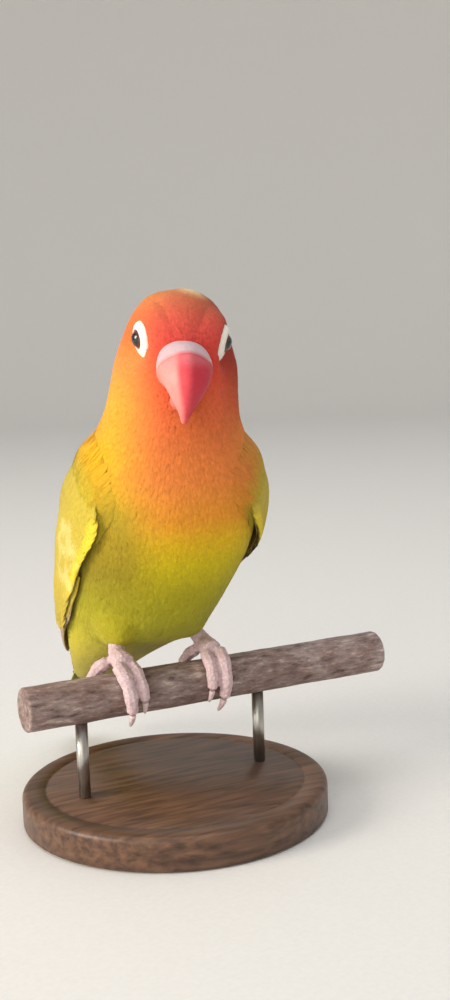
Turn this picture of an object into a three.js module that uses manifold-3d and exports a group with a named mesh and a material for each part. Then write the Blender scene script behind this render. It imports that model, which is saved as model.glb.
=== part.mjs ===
// A small parrot, a lovebird with bare white eye rings, gripping a cut length of wooden perch.
// It is modelled at life size and still, and a plain stand of a disc and two rods holds the perch.
// Millimetres, +Z up. The bird faces -Y, its left side is +X, and the perch runs along X.
// The origin is the centre of the stand's underside.
import * as THREE from "three";
import { mergeVertices } from "three/addons/utils/BufferGeometryUtils.js";
import Module from "manifold-3d";

const wasm = await Module();
wasm.setup();

// Driving dimensions
const GAP = 0.3; // clearance kept between touching pieces
const BASE_RADIUS = 38;
const BASE_HEIGHT = 8;
const BASE_EDGE = 1.6;
const PERCH_RADIUS = 5.5;
const PERCH_HEIGHT = 32; // of its axis, so that the tail clears the base
const PERCH_RIGHT_END = -38;
const PERCH_LEFT_END = 60;
const ROD_RADIUS = 1.5;
const ROD_OFFSET = 24;
const BIRD_HEIGHT = 91.5; // from the top of the perch to the crown
const CROWN_ABOVE_EYE = 12.6;
const HEAD_YAW = 18; // degrees the head turns to its own right
const HEAD_ROLL = 4.5;
const HEAD_ASIDE = 1.8; // how far the head stands to its left of the middle of the perch
const BODY_ASIDE = -0.8;
const HEAD_TAPER = 0.18; // how much narrower the head is towards the face
const FOOT_SPACING = 23.4;
const FOOT_LEAN = -1.3; // how far both feet stand to its right of the middle
const TOE_RADIUS = 1.85;
const VANE_THICKNESS = 0.7;

const PERCH_TOP = PERCH_HEIGHT + PERCH_RADIUS;
const EYE_LEVEL = PERCH_TOP + BIRD_HEIGHT - CROWN_ABOVE_EYE;
const HEAD_PIVOT = new THREE.Vector3(0, -6, EYE_LEVEL - 6);

const vec = (x, y, z) => new THREE.Vector3(x, y, z);
const at = (x, y, up) => vec(x, y, EYE_LEVEL + up);
const mix = (a, b, t) => a + (b - a) * t;
const ease = (t) => THREE.MathUtils.smoothstep(t, 0, 1);
const radians = THREE.MathUtils.degToRad;
const smooth = (points) => new THREE.CatmullRomCurve3(points, false, "catmullrom");

// A number that runs smoothly through some values as t goes from 0 to 1.
function through(values) {
  const line = smooth(values.map((v) => vec(v, 0, 0)));
  return (t) => line.getPoint(THREE.MathUtils.clamp(t, 0, 1)).x;
}

// Solids

// A closed mesh as a solid, with its faces turned outwards.
function solid(geometry) {
  geometry.deleteAttribute("normal");
  geometry.deleteAttribute("uv");
  const merged = mergeVertices(geometry, 1e-4);
  const triVerts = new Uint32Array(merged.index.array);
  const vertProperties = new Float32Array(merged.attributes.position.array);
  const made = new wasm.Manifold(new wasm.Mesh({ numProp: 3, vertProperties, triVerts }));
  if (made.volume() > 0) return made;
  for (let i = 0; i < triVerts.length; i += 3) {
    [triVerts[i + 1], triVerts[i + 2]] = [triVerts[i + 2], triVerts[i + 1]];
  }
  return new wasm.Manifold(new wasm.Mesh({ numProp: 3, vertProperties, triVerts }));
}

const union = (pieces) => pieces.reduce((all, piece) => all.add(piece));
const cut = (made, ...cutters) => cutters.reduce((left, cutter) => left.subtract(cutter), made);

// The largest closed surface of a solid, which drops a loose scrap and fills a sealed hollow.
const largest = (made) => made.decompose().reduce((a, b) => (b.volume() > a.volume() ? b : a));

// The points of a geometry moved to place(x, y, z).
function moved(geometry, place) {
  const { position } = geometry.attributes;
  for (let i = 0; i < position.count; i++) {
    const p = place(position.getX(i), position.getY(i), position.getZ(i));
    position.setXYZ(i, p.x, p.y, p.z);
  }
  return solid(geometry);
}

// A sphere whose points are moved to place(turn, run): turn goes once round, run from end to end.
function skin(around, along, place) {
  const geometry = new THREE.SphereGeometry(1, around, along);
  const { position, uv } = geometry.attributes;
  for (let i = 0; i < position.count; i++) {
    const p = place(uv.getX(i), 1 - uv.getY(i));
    position.setXYZ(i, p.x, p.y, p.z);
  }
  return solid(geometry);
}

// A thin plate between two faces, outer(u, v) and inner(u, v), split into triangles alike.
function plate(across, along, outer, inner) {
  const grid = new THREE.PlaneGeometry(1, 1, across, along);
  const { position, uv } = grid.attributes;
  const count = position.count;
  const points = new Float32Array(count * 6);
  for (let i = 0; i < count; i++) {
    const [u, v] = [uv.getX(i), 1 - uv.getY(i)];
    outer(u, v).toArray(points, i * 3);
    inner(u, v).toArray(points, (count + i) * 3);
  }
  const faces = [...grid.index.array];
  for (let i = 0; i < grid.index.count; i += 3) {
    const [a, b, c] = [0, 1, 2].map((k) => grid.index.getX(i + k) + count);
    faces.push(a, c, b);
  }
  const row = across + 1;
  const rim = [];
  for (let i = 0; i < across; i++) rim.push(i);
  for (let i = 0; i < along; i++) rim.push(across + i * row);
  for (let i = across; i > 0; i--) rim.push(along * row + i);
  for (let i = along; i > 0; i--) rim.push(i * row);
  rim.forEach((a, i) => {
    const b = rim[(i + 1) % rim.length];
    faces.push(a, b, b + count, a, b + count, a + count);
  });
  const geometry = new THREE.BufferGeometry();
  geometry.setAttribute("position", new THREE.BufferAttribute(points, 3));
  geometry.setIndex(faces);
  return solid(geometry);
}

// How a round form closes at its ends: the share of its full width there, and the share of its
// growth that goes along its line, from -1 at its start to 1 at its end.
function dome(run, steepness) {
  const end = Math.min(run, 1 - run);
  const wide = Math.min(1, Math.sqrt(end * (1 - end)) * steepness);
  return [wide, Math.max(0, 1 - end * 5) * Math.sign(run - 0.5)];
}

// A round limb along a curve, with domed ends. radius(run) is its half width.
function limb(curve, around, along, radius, grow = 0) {
  const frames = curve.computeFrenetFrames(along, false);
  return skin(around, along, (turn, run) => {
    const step = Math.round(run * along);
    const [wide, onward] = dome(run, 4.4);
    const size = (radius(run) + grow) * wide;
    const angle = turn * 2 * Math.PI;
    return curve
      .getPointAt(run)
      .addScaledVector(frames.tangents[step], grow * onward)
      .addScaledVector(frames.normals[step], Math.cos(angle) * size)
      .addScaledVector(frames.binormals[step], Math.sin(angle) * size);
  });
}

function cylinder(radius, from, to, sides) {
  const axis = to.clone().sub(from);
  const geometry = new THREE.CylinderGeometry(radius, radius, axis.length(), sides);
  const turn = new THREE.Quaternion().setFromUnitVectors(vec(0, 1, 0), axis.normalize());
  geometry.applyQuaternion(turn);
  geometry.translate(...from.clone().lerp(to, 0.5).toArray());
  return solid(geometry);
}

function ellipsoid(centre, sizes, around, along) {
  return skin(around, along, (turn, run) => {
    const [a, b] = [turn * 2 * Math.PI, run * Math.PI];
    return vec(Math.cos(a) * Math.sin(b), Math.sin(a) * Math.sin(b), Math.cos(b))
      .multiply(sizes)
      .add(centre);
  });
}

// Body

// The head turns on the neck, and the breast follows it a little. tilt and twist are the shares of
// the head's roll and yaw that a point follows.
function turned(point, tilt, twist = tilt) {
  const turn = new THREE.Euler(0, radians(HEAD_ROLL) * tilt, radians(-HEAD_YAW) * twist, "ZYX");
  return point.clone().sub(HEAD_PIVOT).applyEuler(turn).add(HEAD_PIVOT);
}
const headPlace = (x, y, up) => turned(at(x + HEAD_ASIDE, y, up), 1);

// The outline of the flesh and coat, from the crown to the end of the tail coverts.
// Each station is [belly side y, up, back side y, up, half width], with up from eye level.
const STATIONS = {
  crown: [-8.2, 12.6, -8.2, 12.6, 0],
  forehead: [-15.2, 10.9, -0.8, 10.6, 7.0],
  brow: [-20.4, 6.6, 4.2, 6.2, 10.9],
  eye: [-22.3, 0.6, 6.6, 0.6, 13.1],
  bill: [-22.4, -5.4, 8.0, -5.0, 14.7],
  cheek: [-21.4, -12.0, 9.4, -10.6, 15.4],
  throat: [-21.0, -18.6, 11.4, -16.0, 16.4],
  neck: [-21.6, -25.0, 14.0, -20.6, 18.6],
  shoulder: [-23.0, -31.5, 16.6, -25.6, 20.6],
  breast: [-23.8, -38.6, 20.4, -31.6, 22.1],
  wingBend: [-22.6, -45.6, 25.2, -38.4, 22.1],
  upperBelly: [-18.4, -52.6, 30.2, -45.6, 21.6],
  belly: [-13.2, -59.6, 34.8, -52.8, 20.0],
  lowerBelly: [-8.2, -66.0, 39.4, -59.4, 18.4],
  vent: [-2.0, -71.6, 42.6, -65.8, 16.6],
  rump: [8.0, -75.6, 45.8, -71.8, 14.8],
  underTail: [18.0, -79.6, 48.8, -77.4, 12.6],
  coverts: [28.4, -84.2, 51.6, -82.8, 10.4],
  lastCoverts: [38.4, -89.2, 54.4, -87.8, 8.0],
  covertTips: [46.8, -93.4, 57.0, -92.0, 5.4],
  end: [54.0, -95.4, 54.0, -95.4, 0],
};
const ROUNDNESS = 2.2; // 2 is an ellipse, more is squarer
const AROUND = 28;
const ALONG = 39;

const rows = Object.values(STATIONS);
const runOf = (name) => Object.keys(STATIONS).indexOf(name) / (rows.length - 1);
const HEAD_END = runOf("bill");
const SHOULDERS = runOf("breast");
const VENT = runOf("vent");
const bellyLine = smooth(rows.map(([y, up]) => at(0, y, up)));
const backLine = smooth(rows.map(([, , y, up]) => at(0, y, up)));
const halfWidth = through(rows.map(([, , , , wide]) => wide));
const bulge = (value) => Math.sign(value) * Math.abs(value) ** (2 / ROUNDNESS);

// A point of the body's surface, grown outwards by some millimetres. turn goes from the belly
// round by the left side, and run from the crown to the tail.
function bodyPoint(turn, run, grow = 0) {
  const [front, back] = [bellyLine.getPoint(run), backLine.getPoint(run)];
  const middle = front.clone().lerp(back, 0.5);
  const reach = front.sub(middle);
  const deep = reach.length();
  const more = grow * Math.min(1, deep / 2);
  const angle = turn * 2 * Math.PI;
  const tilt = 1 - ease((run - HEAD_END) / (SHOULDERS - HEAD_END));
  const twist = 1 - ease((run - HEAD_END) / (VENT - HEAD_END));
  const narrow = 1 - HEAD_TAPER * tilt * ease(Math.cos(angle) * 1.6);
  if (deep > 0) middle.addScaledVector(reach, (bulge(Math.cos(angle)) * (deep + more)) / deep);
  middle.x += bulge(Math.sin(angle)) * (Math.max(0, halfWidth(run)) * narrow + more);
  middle.x += mix(BODY_ASIDE, HEAD_ASIDE, Math.sqrt(tilt));
  return turned(middle, tilt, twist);
}

function bodySkin(grow) {
  return skin(AROUND, ALONG, (turn, run) => {
    const point = bodyPoint(turn, run, grow);
    if (run === 0) point.z += grow;
    if (run === 1) point.z -= grow;
    return point;
  });
}

// The feathered thighs, low on the belly
const THIGH = { aside: 9.6, y: 7.0, up: -67.2, wide: 5.0, deep: 9.4, high: 7.4 };
const THIGH_LEAN = -2; // how far the bird's weight lies to its right
const thighX = (side) => side * THIGH.aside + THIGH_LEAN;
function thigh(side, grow) {
  const sizes = vec(THIGH.wide + grow, THIGH.deep + grow, THIGH.high + grow);
  return ellipsoid(at(thighX(side), THIGH.y, THIGH.up), sizes, 16, 10);
}

// A slab between two tilted planes, each given by its height at y = 0 and its rise along y.
function slab([low, lowRise], [high, highRise]) {
  const reach = 100;
  return moved(new THREE.BoxGeometry(2, 2, 2), (x, y, z) =>
    at(x * reach, y * reach, z < 0 ? low + y * reach * lowRise : high + y * reach * highRise),
  );
}
const CHIN_CUT = [-16.5, 0.22];
const NECK_CUT = [-28.5, 0.3];
const FAR = 300;
const lifted = ([height, rise]) => [height + GAP, rise];

// Head

const EYE = { x: 7.65, shift: 0.25, y: -14.4, up: 0.9, radius: 3.3 };
const EYE_LOOK = 75; // degrees that the eye looks aside
const EYE_DOWN = 0.2;
const RING_LENGTHEN = 1.07; // the ring is a little taller than wide
const LID_LEAN = 18; // degrees that its top leans back
// The ring with its lids, cut across: [distance from the middle of the eye, height over it].
const RING_PROFILE = [
  [3.64, -0.4],
  [4.0, -0.4],
  [4.0, 1.7],
  [3.5, 2.5],
  [2.8, 2.95],
  [2.3, 3.05],
  [2.14, 2.9],
  [2.8, 2.42],
  [3.34, 1.5],
];
// The hollow that it sits in opens outwards behind the eye, where the cheek swells.
const SOCKET_PROFILE = [
  [0, -0.7],
  [4.3, -0.7],
  [4.3, 2.0],
  [7.1, 5.6],
  [0, 5.6],
];
const eyeCentre = (side) => headPlace(side * EYE.x + EYE.shift, EYE.y, EYE.up);

function eyeball(side, grow) {
  const radius = EYE.radius + grow;
  return ellipsoid(eyeCentre(side), vec(radius, radius, radius), 12, 8);
}

// A profile turned round the line that an eye looks along.
function roundEye(side, profile) {
  const look = radians(EYE_LOOK);
  const out = vec(side * Math.sin(look), -Math.cos(look), -EYE_DOWN).normalize();
  const up = vec(0, 0, 1).projectOnPlane(out).normalize();
  const long = up.clone().applyAxisAngle(out, -side * radians(LID_LEAN));
  const wide = vec(0, 0, 0).crossVectors(out, long);
  const points = [...profile, profile[0]].map(([r, h]) => new THREE.Vector2(r, h));
  return moved(new THREE.LatheGeometry(points, 16), (x, y, z) =>
    turned(
      at(side * EYE.x + EYE.shift + HEAD_ASIDE, EYE.y, EYE.up)
        .addScaledVector(out, y)
        .addScaledVector(long, x * RING_LENGTHEN)
        .addScaledVector(wide, z),
      1,
    ),
  );
}

// Bill: each place is [y, up, half width, half height] along its middle line.
const UPPER_BILL = [
  [-19.5, -5.6, 5.4, 5.2],
  [-22.6, -5.4, 6.0, 5.6],
  [-25.8, -6.4, 5.9, 5.4],
  [-28.3, -9.0, 5.0, 4.5],
  [-28.9, -12.2, 3.4, 3.2],
  [-28.0, -15.2, 1.7, 1.8],
  [-26.8, -18.0, 0.5, 0.5],
];
const LOWER_BILL = [
  [-18.0, -12.7, 3.1, 2.2],
  [-21.0, -13.0, 3.0, 2.3],
  [-23.6, -13.1, 2.3, 2.0],
  [-25.0, -12.8, 1.2, 1.2],
];
const CULMEN = 0.3; // how far the top of the upper bill narrows to its ridge

function bill(places, around, along, grow, ridge) {
  const line = smooth(places.map(([y, up]) => at(HEAD_ASIDE, y, up)));
  const size = smooth(places.map(([, , wide, high]) => vec(wide, high, 0)));
  return skin(around, along, (turn, run) => {
    const [point, ahead] = [line.getPoint(run), line.getTangent(run)];
    const { x: wide, y: high } = size.getPoint(run);
    const [full, onward] = dome(run, 6);
    const [c, s] = [Math.cos(turn * 2 * Math.PI) * full, Math.sin(turn * 2 * Math.PI) * full];
    point.x += (wide * (1 - ridge * Math.max(0, s) ** 2) + grow) * c;
    point.addScaledVector(vec(0, ahead.z, -ahead.y), (high + grow) * s);
    return turned(point.addScaledVector(ahead, grow * onward), 1);
  });
}
const upperBill = (grow) => bill(UPPER_BILL, 20, 14, grow, CULMEN);
const lowerBill = (grow) => bill(LOWER_BILL, 16, 9, grow, 0);

// The cere is the swollen root of the upper bill, behind a slanted line, with two nostrils.
const CERE_SWELL = 0.35;
const CERE_LINE = { y: -32.4, slant: -1.15 }; // its y at eye level, and how fast it goes back lower down
const NOSTRIL_RADIUS = 0.5;
function behindCereLine(shift) {
  const reach = 30;
  return moved(new THREE.BoxGeometry(2, 2, 2), (x, y, z) =>
    headPlace(x * reach, y > 0 ? reach : CERE_LINE.y + shift + z * reach * CERE_LINE.slant, z * reach),
  );
}
const nostril = (side) =>
  cylinder(NOSTRIL_RADIUS, headPlace(side * 2.2, -26.0, 3.0), headPlace(side * 2.0, -23.4, -1.2), 8);

// Wings. Each lies on the body's skin, and turn and run are places on that skin. A place on the
// wing is along, from its bend to its tip, and across, from its lower edge up to the back.
const WING_LOWER_TURN = through([0.165, 0.157, 0.208, 0.248, 0.27, 0.34, 0.43]);
const WING_UPPER_TURN = through([0.37, 0.43, 0.45, 0.46, 0.465, 0.47, 0.48]);
const WING_START = [0.385, 0.36]; // run at the lower and the upper edge
const WING_TIP = 0.94;
const WING_EDGE = 1.25; // height of the wing's edge over the body's skin
const WING_CLEAR = 0.78; // the same of its underside
const WING_RISE = 0.5;
const LOOSE_FORWARD = 0.055; // how far round the left wing hangs forward of the right one
const WING_CORE = 0.88; // how far along the core under the feathers reaches

// The place on the body's skin that a place on the wing lies over, with its height over that skin.
function wingPlace(side, along, across) {
  const loose = side > 0 ? 1 - ease(along * 2.2) : 0;
  const lower = WING_LOWER_TURN(along) - LOOSE_FORWARD * loose;
  const turn = mix(lower, WING_UPPER_TURN(along), across);
  const corner = 0.035 * (2 * across - 1) ** 2 * (1 - ease(along * 5));
  const run = mix(mix(...WING_START, across) + corner, WING_TIP, along);
  const swell = Math.sin(Math.PI * mix(0.12, 0.94, THREE.MathUtils.clamp(across, 0, 1)));
  const ends = Math.min(ease((along + 0.06) * 5), mix(1, 0.45, ease((along - 0.6) / 0.4)));
  return [side > 0 ? turn : 1 - turn, run, WING_EDGE + WING_RISE * swell * ends];
}

// One feather on a surface: sunk at its root, lifted at its tip, as [along, across] places.
function vane(surface, { root, tip, half, lift, segments = 3, blunt = 0.35, tilt = 0 }) {
  const width = (v) => half * mix(0.7, 1, ease(v / 0.4)) * Math.sqrt(mix(1, blunt, ease(v * 2 - 1)));
  const face = (depth) => (u, v) => {
    const side = u * 2 - 1;
    const across = mix(root[1], tip[1], v) + side * width(v);
    const along = mix(root[0], tip[0], v) - 0.02 * side * side * v;
    return surface(along, across, mix(lift[0], lift[1], v) + tilt * side - depth);
  };
  return plate(2, segments, face(0), face(VANE_THICKNESS));
}

// A tier of like feathers, each overlapping the next from one edge to the other.
function tier(surface, { count, roots, tips, ...form }) {
  return Array.from({ length: count }, (_, i) => {
    const t = i / (count - 1);
    const root = [mix(roots[0][0], roots[1][0], t), mix(roots[0][1], roots[1][1], t)];
    const tip = [mix(tips[0][0], tips[1][0], t), mix(tips[0][1], tips[1][1], t)];
    return vane(surface, { root, tip, ...form });
  });
}

// Each tier's first and last roots and tips, [along, across], from the lower edge up.
const WING_TIERS = {
  primaries: {
    count: 6,
    roots: [[0.6, 0.16], [0.5, 0.7]],
    tips: [[0.92, 0.12], [1.0, 0.75]],
    half: 0.13,
    lift: [-0.3, 0.2],
    tilt: 0.3,
    blunt: 0.1,
  },
  secondaries: {
    count: 6,
    roots: [[0.4, 0.12], [0.42, 0.88]],
    tips: [[0.7, 0.08], [0.82, 0.86]],
    half: 0.125,
    lift: [-0.3, 0.45],
    tilt: 0.3,
  },
  greaterCoverts: {
    count: 6,
    roots: [[0.24, 0.1], [0.26, 0.9]],
    tips: [[0.52, 0.08], [0.58, 0.88]],
    half: 0.12,
    lift: [-0.3, 0.65],
    tilt: 0.3,
  },
  medianCoverts: {
    count: 5,
    roots: [[0.13, 0.12], [0.13, 0.88]],
    tips: [[0.36, 0.1], [0.4, 0.88]],
    half: 0.13,
    lift: [-0.3, 0.7],
    tilt: 0.3,
    segments: 2,
  },
  lesserCoverts: {
    count: 4,
    roots: [[0.04, 0.17], [0.04, 0.83]],
    tips: [[0.22, 0.14], [0.25, 0.86]],
    half: 0.15,
    lift: [-0.3, 0.6],
    tilt: 0.3,
    segments: 2,
  },
};

function wing(side) {
  const surface = (along, across, lift) => {
    const [turn, run, rise] = wingPlace(side, along, across);
    return bodyPoint(turn, run, Math.max(rise + lift, WING_CLEAR));
  };
  const underside = (along, across) => {
    const [turn, run] = wingPlace(side, along, across);
    return bodyPoint(turn, run, WING_CLEAR);
  };
  const core = plate(
    6,
    11,
    (u, v) => surface(v * WING_CORE, u, -0.1),
    (u, v) => underside(v * WING_CORE, u),
  );
  return union([core, ...Object.values(WING_TIERS).flatMap((row) => tier(surface, row))]);
}

// Tail: a slightly arched fan of twelve feathers in pairs, the middle pair uppermost and longest
const TAIL_ROOT = at(0, 36, -69);
const TAIL_TIP = at(0, 68, -107);
const TAIL_HALF_WIDTHS = [7.2, 8.8];
const TAIL_ARCH = 1.6;
const TAIL_PAIRS = 6;
const tailAhead = TAIL_TIP.clone().sub(TAIL_ROOT);
const tailUp = vec(0, -tailAhead.z, tailAhead.y).normalize();

function tailPoint(run, across, lift) {
  const point = TAIL_ROOT.clone().addScaledVector(tailAhead, run);
  point.x += across * mix(...TAIL_HALF_WIDTHS, run);
  return point.addScaledVector(tailUp, lift - TAIL_ARCH * across * across);
}

function tail() {
  const feathers = [];
  for (let i = 0; i < TAIL_PAIRS; i++) {
    const out = (i + 0.5) / TAIL_PAIRS;
    for (const side of [-1, 1]) {
      const under = side > 0 ? 0 : 0.012;
      feathers.push(
        vane(tailPoint, {
          root: [0.34, side * out * 0.6],
          tip: [0.995 - 0.13 * out * out - under, side * out * 0.86],
          half: 0.26,
          lift: [0.5 - i * 0.42, 1.2 - i * 0.36 - under * 10],
          segments: 4,
          blunt: 0.22,
        }),
      );
    }
  }
  const heart = skin(16, 8, (turn, run) => {
    const size = Math.sin(run * Math.PI) ** 0.6;
    const [c, s] = [Math.cos(turn * 2 * Math.PI) * size, Math.sin(turn * 2 * Math.PI) * size];
    return tailPoint(mix(0.3, 0.84, run), c * 0.86, s * 2.2 - 0.3);
  });
  return union([heart, ...feathers]);
}

// Feet: two toes forward and two back on each, wrapped over the perch, with a claw on each toe
const TOES = {
  outer_front: { aside: 2.1, spread: -0.1, ahead: -1, wrap: 118, size: 1 },
  inner_front: { aside: -1.5, spread: -0.1, ahead: -1, wrap: 98, size: 0.86 },
  outer_rear: { aside: 2.1, spread: 0.3, ahead: 1, wrap: 104, size: 0.95 },
  inner_rear: { aside: -1.8, spread: -0.22, ahead: 1, wrap: 84, size: 0.85 },
};
const LEAVE = 110; // degrees round the perch at which a toe goes straight on

// The line of a toe over the perch, from the top of the perch round to its claw's root.
function toeLine(side, toe) {
  const radius = PERCH_RADIUS + GAP + 0.3 + TOE_RADIUS * toe.size;
  const points = [];
  for (let i = 0; i <= 8; i++) {
    const degrees = mix(12, toe.wrap, i / 8);
    const angle = radians(Math.min(degrees, LEAVE));
    const beyond = radians(Math.max(0, degrees - LEAVE)) * radius;
    points.push(
      vec(
        side * (FOOT_SPACING / 2 + toe.aside + toe.spread * radius * radians(degrees)) + FOOT_LEAN,
        toe.ahead * (Math.sin(angle) * radius + Math.cos(angle) * beyond),
        PERCH_HEIGHT + Math.cos(angle) * radius - Math.sin(angle) * beyond,
      ),
    );
  }
  return smooth(points);
}

function toeForm(side, toe, grow) {
  const pads = (run) => 1 + 0.09 * Math.cos(run * Math.PI * 6);
  const radius = (run) => TOE_RADIUS * toe.size * mix(1, 0.74, run) * pads(run);
  return limb(toeLine(side, toe), 8, 10, radius, grow);
}

function claw(side, toe) {
  const line = toeLine(side, toe);
  const [root, ahead] = [line.getPoint(1), line.getTangent(1)];
  const inward = vec(0, -toe.ahead, 0);
  const long = 4.6 * toe.size;
  root.addScaledVector(ahead, -0.9);
  const points = [0, 0.35, 0.7, 1].map((t) =>
    root.clone().addScaledVector(ahead, t * long).addScaledVector(inward, t * t * long * 0.42),
  );
  return limb(smooth(points), 6, 6, (run) => 0.95 * toe.size * mix(1, 0.2, run ** 1.3));
}

// The bare shank from the feathered thigh down to the toes, with the sole that the toes grow from.
function shank(side, grow) {
  const [foot, top] = [(side * FOOT_SPACING) / 2 + FOOT_LEAN, thighX(side)];
  const sole = PERCH_TOP + GAP + 2;
  const line = smooth([
    vec(foot, -3.4, sole - 0.4),
    vec(foot, -0.8, sole + 0.4),
    vec(foot, 2.4, sole + 1.4),
    vec(mix(foot, top, 0.5), 4.4, sole + 4.2),
    vec(top, 5.0, sole + 8.4),
  ]);
  return limb(line, 10, 10, (run) => mix(2.7, 1.8, ease(run * 1.4)), grow);
}

// Perch and stand
const perchLine = (more) => [
  vec(PERCH_RIGHT_END - more, 0, PERCH_HEIGHT),
  vec(PERCH_LEFT_END + more, 0, PERCH_HEIGHT),
];
const perchClear = cylinder(PERCH_RADIUS + GAP, ...perchLine(5), 32);

function standRod(side) {
  const foot = vec(side * ROD_OFFSET, 0, BASE_HEIGHT + GAP);
  return cut(cylinder(ROD_RADIUS, foot, foot.clone().setZ(PERCH_HEIGHT), 16), perchClear);
}

function standBase() {
  const rim = new THREE.Path();
  rim.moveTo(0, 0);
  rim.lineTo(BASE_RADIUS, 0);
  rim.lineTo(BASE_RADIUS, BASE_HEIGHT - BASE_EDGE);
  rim.absarc(BASE_RADIUS - BASE_EDGE, BASE_HEIGHT - BASE_EDGE, BASE_EDGE, 0, Math.PI / 2);
  rim.lineTo(0, BASE_HEIGHT);
  const disc = new THREE.LatheGeometry(rim.getPoints(3), 32);
  disc.rotateX(Math.PI / 2);
  return solid(disc);
}

// Assembly
const COLOURS = {
  orange: "#e9723a",
  yellow: "#c9a92c",
  green: "#a8a536",
  tailGreen: "#8f9440",
  bill: "#e0535d",
  cere: "#e6d2cf",
  ring: "#f6f2ea",
  eye: "#2a1a1c",
  foot: "#cbb0b2",
  claw: "#d8c4bd",
  wood: "#8b7570",
  base: "#5b4030",
  rod: "#b9b6ae",
};
const group = new THREE.Group();

function add(name, made, colour) {
  const { vertProperties, triVerts } = largest(made).getMesh();
  const geometry = new THREE.BufferGeometry();
  geometry.setAttribute("position", new THREE.BufferAttribute(vertProperties, 3));
  geometry.setIndex(new THREE.BufferAttribute(triVerts, 1));
  const material = new THREE.MeshStandardMaterial({ color: COLOURS[colour], name: colour });
  const mesh = new THREE.Mesh(geometry, material);
  mesh.name = name;
  group.add(mesh);
}

const SIDES = { right: -1, left: 1 };
const sides = Object.values(SIDES);
const bodyClear = bodySkin(GAP);
const flesh = cut(union([bodySkin(0), ...sides.map((s) => thigh(s, 0))]), perchClear);
const trunk = cut(flesh, ...sides.flatMap((s) => [thigh(s, GAP), shank(s, GAP)]));
const lowerClear = lowerBill(GAP);

const face = sides.flatMap((s) => [roundEye(s, SOCKET_PROFILE), eyeball(s, GAP)]);
const headFlesh = trunk.intersect(slab(lifted(CHIN_CUT), [FAR, 0]));
add("head", cut(headFlesh, upperBill(CERE_SWELL + GAP), lowerClear, ...face), "orange");
add("neck", cut(trunk.intersect(slab(lifted(NECK_CUT), CHIN_CUT)), lowerClear), "orange");
add("torso", trunk.intersect(slab([-FAR, 0], NECK_CUT)), "yellow");
add("tail", cut(tail(), bodyClear), "tailGreen");

add("bill_lower", lowerBill(0), "bill");
add("bill_upper", cut(upperBill(0), behindCereLine(-GAP), lowerClear), "bill");
const cere = upperBill(CERE_SWELL).intersect(behindCereLine(0));
add("cere", cut(cere, lowerClear, nostril(-1), nostril(1)), "cere");

for (const [name, side] of Object.entries(SIDES)) {
  const wingHere = wing(side);
  add("wing_" + name, wingHere, "green");
  add("eye_" + name, eyeball(side, 0), "eye");
  add("eye_ring_" + name, roundEye(side, RING_PROFILE), "ring");
  add("thigh_" + name, cut(flesh.intersect(thigh(side, 0)), shank(side, GAP)), "yellow");
  add("shank_" + name, cut(shank(side, 0), perchClear), "foot");
  for (const [place, toe] of Object.entries(TOES)) {
    const toeHere = cut(toeForm(side, toe, 0), perchClear, shank(side, GAP), thigh(side, GAP));
    add(["toe", name, place].join("_"), toeHere, "foot");
    add(["claw", name, place].join("_"), cut(claw(side, toe), perchClear, toeForm(side, toe, GAP)), "claw");
  }
}

add("perch", cylinder(PERCH_RADIUS, ...perchLine(0), 32), "wood");
for (const [name, side] of Object.entries(SIDES)) add("stand_rod_" + name, standRod(side), "rod");
add("stand_base", standBase(), "base");

export default group;
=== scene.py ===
# %% [markdown]
# # A small lovebird on a cut perch
#
# This lesson dresses a plain CAD bird for the camera. The bird is a white eye-ringed lovebird at life
# size: orange on the face, yellow on the breast, olive lower down, with a coral bill. It stands still
# on a cut length of branch that a plain display stand holds. The CAD solids give the sizes and the
# places. Here come the coat of feathers, the horn of the bill and claws, the scaly feet, the glossy
# eyes, the bark and the stand. Everything is in metres, in the frame of the CAD, and Z points up.

# %% Load the frame
import math

import bmesh
import bpy
import numpy as np
from mathutils import Matrix, Vector, noise
from mathutils.bvhtree import BVHTree
from mathutils.kdtree import KDTree


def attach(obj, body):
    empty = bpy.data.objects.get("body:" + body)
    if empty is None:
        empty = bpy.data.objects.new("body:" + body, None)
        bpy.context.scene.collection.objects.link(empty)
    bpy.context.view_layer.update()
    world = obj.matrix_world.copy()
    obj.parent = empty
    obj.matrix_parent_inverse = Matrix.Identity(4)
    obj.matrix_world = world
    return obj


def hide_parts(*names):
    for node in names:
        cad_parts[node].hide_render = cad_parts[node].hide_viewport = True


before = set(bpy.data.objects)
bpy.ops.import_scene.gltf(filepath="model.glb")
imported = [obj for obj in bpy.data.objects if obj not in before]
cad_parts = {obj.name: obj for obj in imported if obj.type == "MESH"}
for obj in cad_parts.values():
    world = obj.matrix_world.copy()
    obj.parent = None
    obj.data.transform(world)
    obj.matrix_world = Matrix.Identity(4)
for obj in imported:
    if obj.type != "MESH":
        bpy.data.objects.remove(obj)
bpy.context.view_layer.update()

MM = 0.001
random = np.random.default_rng(7)

# %% [markdown]
# ## Camera
#
# The camera stands where the photograph was taken: level with the eye of the bird, a little to its
# right, and rolled by two degrees. A 45 mm lens on a 36 mm frame gives the same perspective. Its
# matrix is built from three directions, because that keeps yaw, pitch and roll apart.

# %% Camera
TARGET = Vector((0, 0, 0.085))  # the middle of the bird
CAMERA_PLACE = Vector((-121.1, -277.0, 116.5)) * MM
CAMERA_YAW, CAMERA_PITCH, CAMERA_ROLL = (math.radians(a) for a in (26.46, -7.29, -2.1))
CAMERA_LENS, CAMERA_FRAME, CAMERA_CLIP = 45, 36, 0.01

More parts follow.
